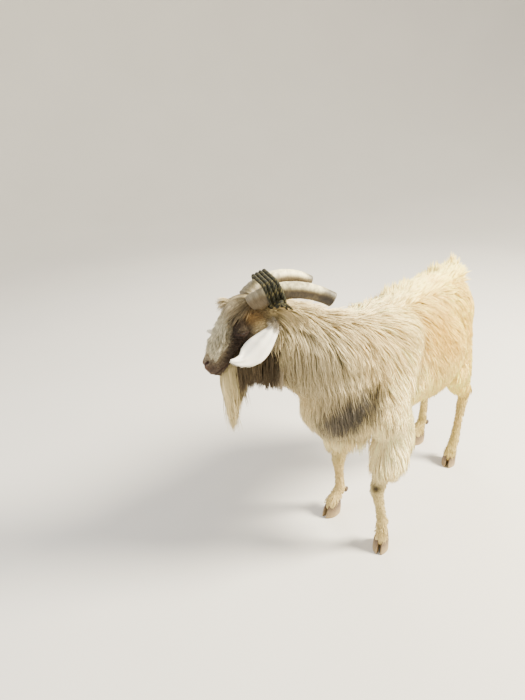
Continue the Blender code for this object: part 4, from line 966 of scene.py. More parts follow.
# beard
beardValues = dict(strands=2600, tip=(0.590, -0.198, 0.470), width=0.0021, thick=0.0009, wisps=0.14, length=0.16)


def beardWeight(middle, normal):
    a, s, n = bodyToHead(middle).T
    facing = (normal @ headTurn)[:, 2] < -0.15
    return (n < -0.036) * (n > -0.080) * (a > 0.108) * (a < 0.200) * (np.abs(s) < 0.020) * facing


roots, normals, rootUv = skinSample(skin, skinPoints, beardValues["strands"], beardWeight)
a, s, n = bodyToHead(roots).T
back = smooth(0.185, 0.110, a)
tip = np.array(beardValues["tip"])
mid = headToBody([[0.165, 0, -0.05]])
reach = rng.uniform(0.55, 1.0, len(a)) ** 0.6 * (1 - 0.38 * back)
ends = mid + (tip - mid) * reach[:, None] + (roots - mid) * (0.30 + 0.25 * back)[:, None]
ends += rng.normal(0, 1, (len(a), 3)) * np.array([0.0060, 0.0060, 0.004])
stray = rng.random(len(a)) < beardValues["wisps"]
ends[stray] += rng.normal(0, 1, (stray.sum(), 3)) * np.array([0.012, 0.012, 0.008])
t = np.linspace(0, 1, 6)[None, :, None]
start = (roots - normals * 0.002)[:, None, :]
bend = (roots + np.array([0.004, -0.002, -0.055]) + normals * 0.006)[:, None, :]
paths = start * (1 - t) ** 2 + 2 * bend * t * (1 - t) + ends[:, None, :] * t ** 2
paths, owner = clump(paths, roots, 0.06, 0.55)
paths = wave(paths, owner, 0.0030, beardValues["length"])
base = np.tile(tone["linen"] * 0.66 + tone["grey"] * 0.22, (len(a), 1))
base = blend(base, tone["taupe"], 0.75 * smooth(0.150, 0.118, a))        # brown towards the throat
outs = unit(columns(0, s, 0) @ headTurn.T + normals * 0.3)
strandPiece("beardHair", paths, outs, beardValues["width"] * rng.uniform(0.7, 1.2, len(a)), beardValues["thick"],
            lockTint(owner, 0.16, 0.82, 1.12, 0.96), rootUv, nodes=("beard",), colour=base)


# throat
throatValues = dict(strands=2600, shortest=0.040, longest=0.120, edge=0.598, width=0.0024, thick=0.0008, lift=0.004)


def throatWeight(middle, normal):
    a, s, n = bodyToHead(middle).T
    neck = (a > -0.02) * (a < 0.158) * (n < -0.046) * (normal[:, 2] < 0.35) * (1 + 1.5 * (a > 0.01))
    jaw = (a > 0.03) * (a < 0.135) * (n < -0.020) * (normal[:, 2] < -0.40) * 3.0
    return np.maximum(neck, jaw) * (n > -0.15) * (np.abs(s) < 0.050)


def throatFlow(points, out):
    return np.tile(unit(np.array([0.02, -0.02, -1.0])), (len(points), 1))


roots, normals, rootUv = skinSample(skin, skinPoints, throatValues["strands"], throatWeight)
# the hair ends near one level, so that its lower edge hangs even between beard and neck
length = np.clip(roots[:, 2] - throatValues["edge"], throatValues["shortest"], throatValues["longest"])
length *= rng.uniform(0.80, 1.05, len(roots))
paths = combStrands(roots, normals, throatFlow, length, throatValues["lift"], 4, cling=0.0, stand=0.25)
paths, owner = clump(paths, roots, 0.07, 0.5)
paths = wave(paths, owner, 0.0030, length)
# dark brown under the jaw, deepened as painted shade there, and greyer further down
base = blend(tone["umber"] * 0.6 + tone["taupe"] * 0.4, tone["grey"], smooth(-0.095, -0.150, bodyToHead(roots)[:, 2]))
strandPiece("throatHair", paths, normals, throatValues["width"] * rng.uniform(0.7, 1.2, len(roots)), throatValues["thick"],
            lockTint(owner, 0.25, 0.80, 1.15), rootUv, colour=base)


# hair of the poll and forehead
foreValues = dict(strands=3200, width=0.0018, thick=0.0007, wisp=(0.040, -0.012, 0.062))


def foreWeight(middle, normal):
    a, s, n = bodyToHead(middle).T
    return (n > 0.012) * smooth(-0.030, -0.010, a) * smooth(0.075, 0.045, a) * smooth(0.046, 0.030, np.abs(s))


# the strands of the pale wisp, at its root and along it
def inWisp(spots):
    off = (spots - np.array(foreValues["wisp"])) / np.array([0.012, 0.009, 0.040])
    return 1.0 * (np.sum(off ** 2, axis=1) < 1)


def foreFlow(points, out):
    spot = bodyToHead(points)
    way = columns(0.85, spot[:, 1] * 4, 0.12) + 0.60 * tousle(points, 0.024, 41)
    return unit(blend(way, np.array([0.30, -0.05, 0.95]), inWisp(spot)) @ headTurn.T)


roots, normals, rootUv = skinSample(skin, skinPoints, foreValues["strands"], foreWeight)
length = (0.050 - 0.022 * smooth(0.02, 0.07, bodyToHead(roots)[:, 0])) * rng.uniform(0.6, 1.25, len(roots))
lift = 0.011 * rng.uniform(0.2, 1.0, len(roots))
wisp = inWisp(bodyToHead(roots))
length *= 1 - 0.15 * wisp
paths = combStrands(roots, normals, foreFlow, length, lift, 4, cling=0.20 * (1 - wisp), fall=0.25, stand=0.45)
paths, owner = clump(paths, roots, 0.07, 0.6)
strandPiece("forelock", paths, normals, foreValues["width"] * rng.uniform(0.7, 1.2, len(roots)), foreValues["thick"],
            lockTint(owner, 0.22, 0.80, 1.15, 1.05 + 0.5 * wisp), rootUv)


# short hair of the face
faceValues = dict(strands=12000, length=0.0095, width=0.0015, thick=0.0004)


def faceWeight(middle, normal):
    place = foldSides(bodyToHead(middle))
    a, s, n = place.T
    mouth, nostril = mouthDistance(place), lineDistance(place, nostrilLine)
    bare = smooth(0.002, 0.004, mouth) * smooth(0.006, 0.010, nostril) * smooth(-0.0012, -0.0030, eyeOpening(place)[0])
    thick = 1 + 1.2 * smooth(0.030, 0.010, s) * (n > 0.01) * smooth(0.19, 0.15, a)
    low = (n > -0.092) & (a > -0.03)
    return low * (onHead(middle) | (n < -0.04)) * bare * thick * smooth(0.222, 0.205, a)


def bridgeShare(spots):
    a, s, n = spots.T
    return smooth(0.034, 0.014, np.abs(s)) * (n > 0.0) * smooth(0.178, 0.154, a) * smooth(0.04, 0.07, a)


def faceFlow(points, out):
    spot = bodyToHead(points)
    side = np.tanh(spot[:, 1] / 0.004)
    bridge = bridgeShare(spot)
    onward = smooth(0.125, 0.085, spot[:, 0]) * bridge
    way = columns(-0.75 + bridge * 0.55 + onward, side * (0.45 + 0.75 * bridge - 0.5 * onward),
                  np.where(spot[:, 2] < 0, -0.55, 0.1))
    way = unit(flatten(way @ headTurn.T, out))
    return unit(way + np.cross(out, way) * (0.40 * blotch(points, 0.016, 51))[:, None])


roots, normals, rootUv = skinSample(skin, skinPoints, faceValues["strands"], faceWeight)
spot = bodyToHead(roots)
bridge = bridgeShare(spot)
length = faceValues["length"] * (1 + 0.4 * bridge)
length *= 1 + 1.3 * smooth(-0.045, -0.075, spot[:, 2])
length *= (0.55 + 0.45 * smooth(0.205, 0.165, spot[:, 0])) * rng.uniform(0.7, 1.25, len(roots))
length *= 0.45 + 0.55 * smooth(0.014, 0.030, np.linalg.norm(foldSides(spot) - np.array(pose["eyeSeat"]), axis=1))
paths = combStrands(roots, normals, faceFlow, length, length * 0.09 + 0.0004, 2, cling=0.8, fall=0.0, stand=0.08,
                    depth=0.0005)
paths, owner = clump(paths, roots, 0.14, 0.45, spread=0.5)
tint = lockTint(owner, 0.07, 0.90, 1.10)
strandPiece("faceHair", paths, normals, faceValues["width"] * rng.uniform(0.8, 1.3, len(roots)) * (1 + 0.5 * bridge),
            faceValues["thick"], tint, rootUv)


# long pale hair over the bridge of the nose
bridgeValues = dict(strands=2600, length=0.027, width=0.0016, thick=0.0005)


def bridgeWeight(middle, normal):
    return bridgeShare(bodyToHead(middle))


def bridgeFlow(points, out):
    spot = bodyToHead(points)
    way = columns(0.80, 0.55 * np.tanh(spot[:, 1] / 0.006), 0.12) + 0.55 * tousle(points, 0.018, 81)
    return unit(way @ headTurn.T)


roots, normals, rootUv = skinSample(skin, skinPoints, bridgeValues["strands"], bridgeWeight)
length = bridgeValues["length"] * rng.uniform(0.6, 1.3, len(roots)) * (1 - 0.55 * smooth(0.13, 0.18, bodyToHead(roots)[:, 0]))
lift = 0.0055 * rng.uniform(0.2, 1.0, len(roots))
paths = combStrands(roots, normals, bridgeFlow, length, lift, 3, cling=0.30, fall=0.10, stand=0.30)
paths, owner = clump(paths, roots, 0.10, 0.5, spread=0.5)
strandPiece("bridgeHair", paths, normals, bridgeValues["width"], bridgeValues["thick"],
            lockTint(owner, 0.30, 0.80, 1.15, 1.10), rootUv, colour=0.7 * tone["ash"] + 0.3 * coatColour(roots))


# short hair of the lower legs
legValues = dict(strands=7600, length=0.015, width=0.0019, thick=0.0005)


def legWeight(middle, normal):
    return smooth(0.42, 0.34, middle[:, 2]) * smooth(0.050, 0.056, middle[:, 2])


roots, normals, rootUv = skinSample(skin, skinPoints, legValues["strands"], legWeight)
length = legValues["length"] * rng.uniform(0.7, 1.3, len(roots)) * (1 + 0.9 * smooth(0.100, 0.060, roots[:, 2]))
paths = combStrands(roots, normals, coatFlow, length, length * 0.16 + 0.0004, 2, cling=0.5, fall=0.1, stand=0.16,
                    depth=0.0006)
paths, owner = clump(paths, roots, 0.14, 0.5, spread=0.5)
strandPiece("legHair", paths, normals, legValues["width"] * rng.uniform(0.7, 1.2, len(roots)), legValues["thick"],
            lockTint(owner, 0, 0.85, 1.10), rootUv)


# ears
earRows = [      # along, out and up in head space, width, thickness
    (0.006, 0.036, -0.046, 0.024, 0.018), (0.020, 0.070, -0.056, 0.030, 0.010), (0.042, 0.088, -0.047, 0.048, 0.006),
    (0.064, 0.100, -0.040, 0.059, 0.0044), (0.087, 0.1055, -0.0345, 0.064, 0.0038),
    (0.106, 0.1105, -0.0285, 0.052, 0.0034), (0.119, 0.1155, -0.021, 0.032, 0.003),
    (0.1283, 0.1198, -0.0077, 0.019, 0.0026), (0.135, 0.122, 0.0076, 0.006, 0.0022),
]

# thin white-haired ear: matt, with a faint pink where light comes through and soft ribs along it
earLook = tonedMaterial("whiteEarHair", 0.7, 0.25, "coatTone",
                        [({"Scale": 380.0, "Detail": 3.0}, {"Strength": 0.4, "Distance": 0.001})],
                        **{"Subsurface Weight": 0.12, "Subsurface Radius": (0.006, 0.003, 0.002)})
earValues = dict(rows=44, half=16, tufts=1500, length=0.0055, width=0.0010, thick=0.0003)


def makeEar(side, tag):
    table = np.array(earRows)
    steps = np.linspace(0, len(table) - 1, earValues["rows"])
    rows = np.stack([np.interp(steps, np.arange(len(table)), table[:, k]) for k in range(5)], 1)
    for sweep in range(3):
        rows[1:-1] = (rows[:-2] + 2 * rows[1:-1] + rows[2:]) / 4
    centres = rows[:, :3]
    face = np.array([-0.10, 0.86, 0.50])
    points = []
    half = earValues["half"]
    for k in range(len(rows)):
        ahead = unit(centres[min(k + 1, len(rows) - 1)] - centres[max(k - 1, 0)])
        out = unit(face - ahead * (face @ ahead))
        width = np.cross(ahead, out)
        wide, thin = rows[k, 3], rows[k, 4]
        cup = wide * 0.20 * min(1.0, k / 8)
        ring = []
        for sign in (1, -1):
            for j in range(half + 1):
                u = (-1 + 2 * j / half) * sign
                ripple = 0.0009 * math.sin(k * 0.55 + u * 5) * abs(u) ** 3
                ripple += 0.0013 * math.sin(u * 7.5 + k * 0.05) * min(1.0, (len(rows) - k) / 12)
                skinAt = thin * 0.5 * math.sqrt(max(0.0, 1 - (0.96 * u) ** 2)) + 0.0002
                ring.append(centres[k] + width * (wide / 2) * u + out * (-cup * u * u + ripple + sign * skinAt))
        points += ring
    points = np.array(points) * np.array([1, side, 1])
    if side < 0:      # this ear's tip swings a little further forward
        points += smooth(0.09, 0.13, points[:, :1]) * np.array([0.016, 0, 0.010])
    sides = 2 * (half + 1)
    piece = meshPiece("ear" + tag, headToBody(points), loftFaces(len(rows), sides), ("ear_" + tag.lower(),))
    outward(piece)
    unwrap(piece, 0.01)
    spots = pointsOf(piece)
    along = bodyToHead(spots)[:, 0]
    colour = blend(np.tile(tone["white"], (len(spots), 1)), tone["grey"], 0.8 * smooth(0.034, 0.010, along))
    # painted shade in soft folds along the ear and towards its base
    fold = smooth(0.1, 0.9, blotch(bodyToHead(spots) * np.array([0.35, 1.0, 1.0]), 0.008, 91))[:, None]
    colour = colour * (1 - fold * 0.20) * (0.90 + 0.10 * smooth(0.04, 0.09, along)[:, None])
    paint(piece, colour)
    piece.data.materials.append(earLook)

    def atBase(places):
        return smooth(0.026, 0.004, bodyToHead(places)[:, 0])

    def weight(middle, normal):
        return 0.6 + 3.0 * atBase(middle)

    roots, normals, rootUv = skinSample(piece, spots, earValues["tufts"], weight)
    hairy = atBase(roots)
    way = np.tile(unit(np.array([0.85, 0.25 * side, 0.05])) @ headTurn.T, (len(roots), 1))
    way = unit(flatten(way, normals) + normals * 0.03)
    way = unit(way + normals * (0.35 * hairy)[:, None] + 0.25 * hairy[:, None] * rng.normal(0, 1, (len(roots), 3)))
    length = (earValues["length"] + 0.014 * hairy) * rng.uniform(0.6, 1.2, len(roots))
    t = np.array([0, 0.55, 1.0])[None, :, None]
    paths = (roots - normals * 0.0006)[:, None, :] + way[:, None, :] * length[:, None, None] * t
    base = tone["white"] * (1 - hairy[:, None]) + tone["grey"] * 1.2 * hairy[:, None]
    strandPiece("earHair" + tag, paths, normals, earValues["width"], earValues["thick"],
                rng.uniform(0.96, 1.02, (len(roots), 1)), rootUv, colour=base)


makeEar(1, "Left")
makeEar(-1, "Right")


def eyeMaterial():
    # wet goat eye: amber iris, wide dark bar of a pupil, dark rim, under a clear glossy cornea
    made, tree, shader = newMaterial("wetAmberEye", roughness=0.08, specular=0.6,
                                     **{"Coat Weight": 1.0, "Coat Roughness": 0.02})
    colour = addNode(tree, "ShaderNodeAttribute", dict(attribute_name="eyeTone"))
    tree.links.new(colour.outputs["Color"], shader.inputs["Base Color"])
    return made


eyeLook = eyeMaterial()
eyeValues = dict(iris=0.0092, pupilWide=0.0056, pupilHigh=0.0017, amber="#96682A", deep="#452B10", pupil="#0A0908",
                 rim="#16100C")


def makeEye(side, tag):
    bpy.ops.mesh.primitive_uv_sphere_add(segments=96, ring_count=64, radius=pose["eyeRadius"],
                                         location=inHead(*eyePlace(side)) + shift)
    piece = bpy.context.active_object
    piece.name = "eye" + tag
    useOnly(piece)
    bpy.ops.object.transform_apply(location=True, rotation=True, scale=True)
    bpy.ops.object.shade_smooth()
    spots = bodyToHead(pointsOf(piece)) - np.array(eyePlace(side))
    look = unit(np.array([0.16, side * 0.95, -0.22]))
    ahead = unit(eyeAhead - look * (eyeAhead @ look))
    up = np.cross(ahead, look) * side
    x, y, z = spots @ ahead, spots @ up, spots @ look
    reach = np.hypot(x, y)
    grain = 0.5 + 0.5 * np.sin(np.arctan2(y, x) * 46 + 3 * np.sin(np.arctan2(y, x) * 7))
    iris = linear(eyeValues["amber"]) * (0.75 + 0.35 * grain[:, None])
    iris = blend(iris, linear(eyeValues["deep"]), smooth(0.35, 0.9, reach / eyeValues["iris"]))
    pupil = (np.abs(x) / eyeValues["pupilWide"]) ** 4 + (np.abs(y) / eyeValues["pupilHigh"]) ** 4
    colour = blend(iris, linear(eyeValues["pupil"]), smooth(1.35, 0.75, pupil))
    colour = blend(colour, linear(eyeValues["rim"]), np.maximum(smooth(0.0086, 0.0096, reach), z < 0))
    paint(piece, colour, "eyeTone")
    piece.data.materials.append(eyeLook)
    declare(piece, ("eye_" + tag.lower(),))


makeEye(1, "Left")
makeEye(-1, "Right")
print("eyes and ears")


# horns
hornValues = dict(curve=[(0.000, 0.029, 0.012), (-0.026, 0.043, 0.010), (-0.108, 0.064, -0.018), (-0.126, 0.089, -0.128)],
                  base=(0.026, 0.021), end=(0.018, 0.014), rings=110, sides=40,
                  top="#F4E8B8", flank="#736446", low="#362C1D", dark="#2C241A", worn="#655740")


def bezier(points, t):
    a, b, c, d = (Vector(p) for p in points)
    u = 1 - t
    return a * u ** 3 + b * 3 * u * u * t + c * 3 * u * t * t + d * t ** 3


def hornAxes(side, t):
    curve = [(a, side * s, n) for a, s, n in hornValues["curve"]]
    at = headPlace @ bezier(curve, t)
    ahead = (headPlace @ bezier(curve, t + 0.01) - headPlace @ bezier(curve, t - 0.01)).normalized()
    across = headPlace.to_3x3() @ Vector((0, side, 0))
    across = (across - ahead * across.dot(ahead)).normalized()
    return at, ahead, across, ahead.cross(across) * side


def hornSize(t, ripple=True):
    ring = 1.0 + 0.020 * math.cos(t * 2 * math.pi * 9) * (1 - 0.5 * t)
    if ripple:
        ring += 0.010 * math.cos(t * 2 * math.pi * 31 + 1.3) * (1 - 0.6 * t)
    base, end = hornValues["base"], hornValues["end"]
    return (base[0] + (end[0] - base[0]) * t) * ring, (base[1] + (end[1] - base[1]) * t) * ring


# weathered horn: dull keratin, cream on top where it is bleached and where light is painted, darker beneath as painted
# shade, with fine growth lines and long scratches
hornLook = tonedMaterial("weatheredHorn", 0.52, 0.4, "hornTone",
                         [({"Scale": 1.0, "Detail": 4.0, "Roughness": 0.6}, {"Strength": 0.5, "Distance": 0.0012})],
                         {"From Min": 0.3, "From Max": 0.7, "To Min": 0.62, "To Max": 1.16}, along="hornAlong")


def makeHorn(side, tag):
    rings, sides = hornValues["rings"], hornValues["sides"]
    points, colours, lanes = [], [], []
    top, flank, low, dark, worn = (linear(hornValues[key]) for key in ("top", "flank", "low", "dark", "worn"))
    for r in range(rings):
        t = r / (rings - 1)
        at, ahead, across, deep = hornAxes(side, t)
        long, short = hornSize(t)
        for k in range(sides):
            turn = 2 * math.pi * k / sides
            keel = 1.0 + 0.10 * max(0.0, math.sin(turn)) ** 3
            spot = at + across * short * math.cos(turn) + deep * long * keel * math.sin(turn)
            points.append(spot)
            # cream on top where it is bleached and painted as lit, and painted shade on its underside
            height = (deep * math.sin(turn) * 1.2 + across * math.cos(turn)).normalized().dot(Vector((0, 0.25, 0.97)))
            colour = blend(flank, top, smooth(0.30, 0.92, height))
            colour = blend(colour, low, 0.85 * smooth(0.60, 0.00, height))
            colour = blend(colour, low, 0.16 * (0.5 - 0.5 * math.cos(t * 2 * math.pi * 9)) ** 3)       # growth rings
            colour = blend(colour, worn, 0.80 * smooth(0.36, 0.24, t))
            colours.append(blend(colour, dark, 0.92 * smooth(0.88, 0.97, t + 0.03 * math.cos(turn))))
            lanes.append((math.cos(turn) * 2.2, math.sin(turn) * 2.2, t * 55))
    at, ahead, across, deep = hornAxes(side, 1.0)
    for inset, out, mix in ((0.93, 0.0022, 0.75), (0.80, 0.0034, 1.0), (0.4, 0.0030, 1.0)):
        for k in range(sides):
            points.append(at + (points[(rings - 1) * sides + k] - at) * inset + ahead * out)
            colours.append(blend(flank, dark, mix))
            lanes.append((math.cos(k) * inset * 6, math.sin(k) * inset * 6, 60))
    piece = meshPiece("horn" + tag, points, loftFaces(rings + 3, sides), ("horn_" + tag.lower(),))
    colours = np.array(colours)
    spots = np.array([tuple(p) for p in points])
    patch = 0.65 * smooth(0.10, 0.55, blotch(spots, 0.024, 71) + 0.5 * blotch(spots, 0.008, 72))
    paint(piece, blend(colours, flank * 0.62, patch), "hornTone")
    lane = piece.data.attributes.new("hornAlong", "FLOAT_VECTOR", "POINT")
    lane.data.foreach_set("vector", np.array(lanes).ravel())
    outward(piece)
    piece.data.materials.append(hornLook)


makeHorn(1, "Left")
makeHorn(-1, "Right")


# rope round the horns
ropeValues = dict(radius=0.0052, turns=4, middle=0.40, pitch=0.0108, lay=0.030, sides=24,
                  dark="#12120C", olive="#35331F", pale="#7C7042")
# twisted synthetic rope gone dull and green-black, with pale worn strands on top of the lay and painted shade in the
# grooves between strands
ropeLook = tonedMaterial("wornTwistedRope", 0.85, 0.25, "ropeTone",
                         [({"Scale": 900.0, "Detail": 2.0}, {"Strength": 0.6, "Distance": 0.0008})])


def even(points, count, closed):
    points = np.array(points)
    loop = np.vstack([points, points[:1]]) if closed else points
    lengths = np.concatenate([[0], np.cumsum(np.linalg.norm(np.diff(loop, axis=0), axis=1))])
    want = np.linspace(0, lengths[-1], count, endpoint=not closed)
    return np.stack([np.interp(want, lengths, loop[:, k]) for k in range(3)], 1), lengths[-1]


# points, faces and colours of a three-strand rope along a path
def ropeTube(path, length, closed, taper=None, phase=0.0):
    count, sides = len(path), ropeValues["sides"]
    if closed:
        ahead = unit(np.roll(path, -1, axis=0) - np.roll(path, 1, axis=0))
    else:
        ahead = unit(np.gradient(path, axis=0))
    side = np.cross(ahead[0], [0.31, 0.22, 0.92])
    side /= np.linalg.norm(side)
    points, colours = [], []
    dark, olive, pale = (linear(ropeValues[key]) for key in ("dark", "olive", "pale"))
    turns = max(1, round(length / ropeValues["lay"]))
    for k in range(count):
        side = side - ahead[k] * (side @ ahead[k])
        side /= np.linalg.norm(side)
        up = np.cross(ahead[k], side)
        twist = 2 * math.pi * turns * k / (count if closed else count - 1) + phase
        shrink = 1.0 if taper is None else taper[k]
        for j in range(sides):
            turn = 2 * math.pi * j / sides
            lobe = abs(math.cos(1.5 * (turn - twist)))
            reach = ropeValues["radius"] * (0.74 + 0.28 * lobe ** 0.6) * shrink
            points.append(path[k] + (side * math.cos(turn) + up * math.sin(turn)) * reach)
            fine = 0.5 + 0.5 * math.sin(3 * (turn - twist) * 3 + k * 1.7)
            # olive on the crowns of the strands and darkest in the grooves between them, as painted shade
            mix = lobe ** 2 * (0.45 + 0.55 * fine)
            worn = 0.45 * (math.sin(k * 0.37 + j * 0.2) > 0.45) * mix
            colours.append(blend(blend(dark, olive, mix), pale, worn))
    faces = loftFaces(count, sides, close=not closed)
    if closed:
        last = (count - 1) * sides
        offset = int(np.argmin(np.linalg.norm(np.array(points[:sides]) - points[last], axis=1)))
        for j in range(sides):
            i = (j + 1) % sides
            faces.append((last + j, last + i, (i + offset) % sides, (j + offset) % sides))
    return points, faces, colours


def ropeLoop(index):
    reach = ropeValues["radius"] - 0.0004
    middle, radius = ropeValues["middle"], ropeValues["radius"]
    left, leftWay = hornAxes(1, middle)[:2]
    right, rightWay = hornAxes(-1, middle)[:2]
    across = (left - right).normalized()
    ahead = leftWay + rightWay
    ahead = (ahead - across * ahead.dot(across)).normalized()
    up = ahead.cross(across)
    centre = (left + right) / 2 + ahead * ropeValues["pitch"] * (index - (ropeValues["turns"] - 1) / 2)
    flat = []
    for side in (1, -1):
        for t in [middle + step * 0.01 for step in range(-24, 25)]:
            at, ignored, wideAxis, deepAxis = hornAxes(side, t)
            long, short = hornSize(t, ripple=False)
            for k in range(36):
                turn = 2 * math.pi * k / 36
                off = at + wideAxis * (short + reach) * math.cos(turn) + deepAxis * (long * 1.10 + reach) * math.sin(turn)
                off = off - centre
                if abs(off.dot(ahead)) < radius * 0.8:
                    flat.append((off.dot(across), off.dot(up)))
    hull = [flat[i] for i in convex_hull_2d(flat)]
    path, length = even([centre + across * x + up * y for x, y in hull], 220, True)
    for sweep in range(6):
        path = (np.roll(path, 1, axis=0) + 2 * path + np.roll(path, -1, axis=0)) / 4
    return path, length


def ropePiece(name, points, faces, colours, node):
    piece = meshPiece(name, points, faces, (node,))
    paint(piece, np.array(colours), "ropeTone")
    outward(piece)
    piece.data.materials.append(ropeLook)


for index in range(ropeValues["turns"]):
    made = ropeTube(*ropeLoop(index), True, phase=index * 0.9)
    ropePiece("ropeTurn%d" % (index + 1), *made, "rope_turn_%d" % (index + 1))


def makeKnot():
    axes = hornAxes(1, ropeValues["middle"] + 0.06)
    at = axes[0] + axes[2] * 0.021 + axes[3] * 0.022
    loop = []
    for k in range(160):
        turn = 2 * math.pi * k / 160
        x = math.sin(turn) + 2 * math.sin(2 * turn)
        y = math.cos(turn) - 2 * math.cos(2 * turn)
        loop.append(np.array(at + Vector((x, y, -math.sin(3 * turn) * 1.4)) * 0.0042))
    path, length = even(loop, 200, True)
    points, faces, colours = ropeTube(path, length, True)
    for lean, reach in ((0.0, 0.036), (0.35, 0.030), (-0.35, 0.028)):
        way = Vector((-0.72, 0.50 + lean, -0.40 + lean * 0.3)).normalized()
        line = [np.array(at + way * reach * k / 30 + Vector((0, 0, -0.006)) * (k / 30) ** 2) for k in range(31)]
        path, length = even(line, 31, False)
        more, moreFaces, moreColours = ropeTube(path, length, False, taper=np.linspace(0.9, 0.42, 31))
        faces += [tuple(i + len(points) for i in face) for face in moreFaces]
        points += more
        colours += moreColours
    ropePiece("ropeKnot", points, faces, colours, "rope_knot")


makeKnot()
print("horns and rope")


# hooves
hoofValues = dict(length=0.066, width=0.0235, cleft=0.0011, sides=36, sole="#A08A66", top="#57473A", fade=0.040)


def hoofMaterial():
    # hoof horn: matt dark keratin, paler and dusty at the sole, with fine rings a few millimetres apart
    made, tree, shader = newMaterial("dustyHoofHorn", roughness=0.68, specular=0.3)
    spot = addNode(tree, "ShaderNodeTexCoord")
    parts = addNode(tree, "ShaderNodeSeparateXYZ", {}, {"Vector": spot.outputs["Object"]})
    ramp = addNode(tree, "ShaderNodeValToRGB")
    for stop, key in zip(ramp.color_ramp.elements, ("sole", "top")):
        stop.color = hex4(hoofValues[key])
    height = addNode(tree, "ShaderNodeMapRange", {"From Max": hoofValues["fade"]}, {"Value": parts.outputs["Z"]})
    noise = addNode(tree, "ShaderNodeTexNoise", {"Scale": 130.0, "Detail": 4.0}, {"Vector": spot.outputs["Object"]})
    blended = addNode(tree, "ShaderNodeMath", {"operation": "MULTIPLY_ADD", 1: 0.6},
                      {0: noise.outputs["Fac"], 2: height.outputs["Result"]})
    less = addNode(tree, "ShaderNodeMath", {"operation": "SUBTRACT", 1: 0.3}, {0: blended.outputs[0]})
    tree.links.new(less.outputs[0], ramp.inputs["Fac"])
    stretch = addNode(tree, "ShaderNodeMapping", {"Scale": (40.0, 40.0, 520.0)}, {"Vector": spot.outputs["Object"]})
    rings = addNode(tree, "ShaderNodeTexNoise", {"Scale": 1.0, "Detail": 2.0}, {"Vector": stretch.outputs["Vector"]})
    bump = addNode(tree, "ShaderNodeBump", {"Strength": 0.5, "Distance": 0.0012}, {"Height": rings.outputs["Fac"]})
    tree.links.new(ramp.outputs["Color"], shader.inputs["Base Color"])
    tree.links.new(bump.outputs["Normal"], shader.inputs["Normal"])
    return made


hoofLook = hoofMaterial()


def makeClaw(leg, outer, name, node):
    side = math.copysign(1.0, leg["hoof"][1]) * outer
    points = []
    rows = [(0.0, 0.94, 0.0)]
    for k in range(12):
        rows.append((0.0012 + 0.0438 * k / 11, np.interp(k / 11, [0, 0.45, 1], [1.0, 0.97, 0.80]),
                     np.interp(k / 11, [0, 0.45, 1], [0, -0.004, -0.011])))
    rows.append((0.0455, 0.70, -0.011))
    place = Matrix.Translation(Vector((*leg["hoof"], 0))) @ Matrix.Rotation(math.radians(leg["toe"]), 4, "Z")
    for height, grow, back in rows:
        for k in range(hoofValues["sides"]):
            angle = 2 * math.pi * k / hoofValues["sides"]
            along = math.cos(angle)
            across = 0.5 + 0.5 * math.sin(angle)
            lean = 1.0 - 0.45 * max(0.0, along) ** 2
            points.append(place @ Vector((back + along * hoofValues["length"] * 0.5 * grow,
                                          side * (hoofValues["cleft"] + across * hoofValues["width"] * grow * lean), height)))
    piece = meshPiece(name, points, loftFaces(len(rows), hoofValues["sides"]), (node,))
    outward(piece)
    piece.data.materials.append(hoofLook)


def makeDewclaw(leg, outer, name, node):
    side = math.copysign(1.0, leg["hoof"][1]) * outer
    turn = Matrix.Rotation(math.radians(leg["toe"]), 4, "Z")
    at = Vector(leg["fetlock"]) + turn @ Vector((-0.021, side * 0.0105, -0.012))
    bm = bmesh.new()
    addBall(bm, at, (0.0085, 0.0062, 0.0105), turn @ Matrix.Rotation(math.radians(-25), 4, "Y"), detail=4)
    piece = meshPiece(name, [v.co for v in bm.verts], [[v.index for v in f.verts] for f in bm.faces], (node,))
    bm.free()
    piece.data.materials.append(hoofLook)


for name, leg in legs.items():
    words = name.split("_")
    label = words[0] + words[1].capitalize()
    for outer, tag in ((1, "outer"), (-1, "inner")):
        makeClaw(leg, outer, label + "Claw" + tag.capitalize(), "%s_claw_%s" % (name, tag))
        makeDewclaw(leg, outer, label + "Dewclaw" + tag.capitalize(), "%s_dewclaw_%s" % (name, tag))
print("hooves")


# floor, light and camera
studio = dict(sweep=3.0, wall=6.0, floor="#CFCBC4", keyPower=1120.0, fillPower=85.0, rimPower=80.0, sky="#EAEDF2",
              skyLevel=0.88)


# a flat round floor that sweeps up far behind, so that no horizon shows
def makeFloor():
    sides = 96
    profile = [(0.0, 0.0), (1.0, 0.0), (2.5, 0.0), (4.0, 0.0)]
    for k in range(1, 13):
        turn = math.pi / 2 * k / 12
        profile.append((4.0 + studio["sweep"] * math.sin(turn), studio["sweep"] * (1 - math.cos(turn))))
    profile.append((4.0 + studio["sweep"], studio["wall"]))
    points = [Vector((0, 0, 0))]
    faces = []
    for reach, height in profile[1:]:
        for k in range(sides):
            turn = 2 * math.pi * k / sides
            points.append(Vector((reach * math.cos(turn), reach * math.sin(turn), height)))
    for k in range(sides):
        j = (k + 1) % sides
        faces.append((0, 1 + k, 1 + j))
        for row in range(len(profile) - 2):
            a, b = 1 + row * sides, 1 + (row + 1) * sides
            faces.append((a + k, b + k, b + j, a + j))
    mesh = bpy.data.meshes.new("studioFloor")
    mesh.from_pydata([tuple(p) for p in points], [], faces)
    mesh.shade_smooth()
    return newObject("studioFloor", mesh)


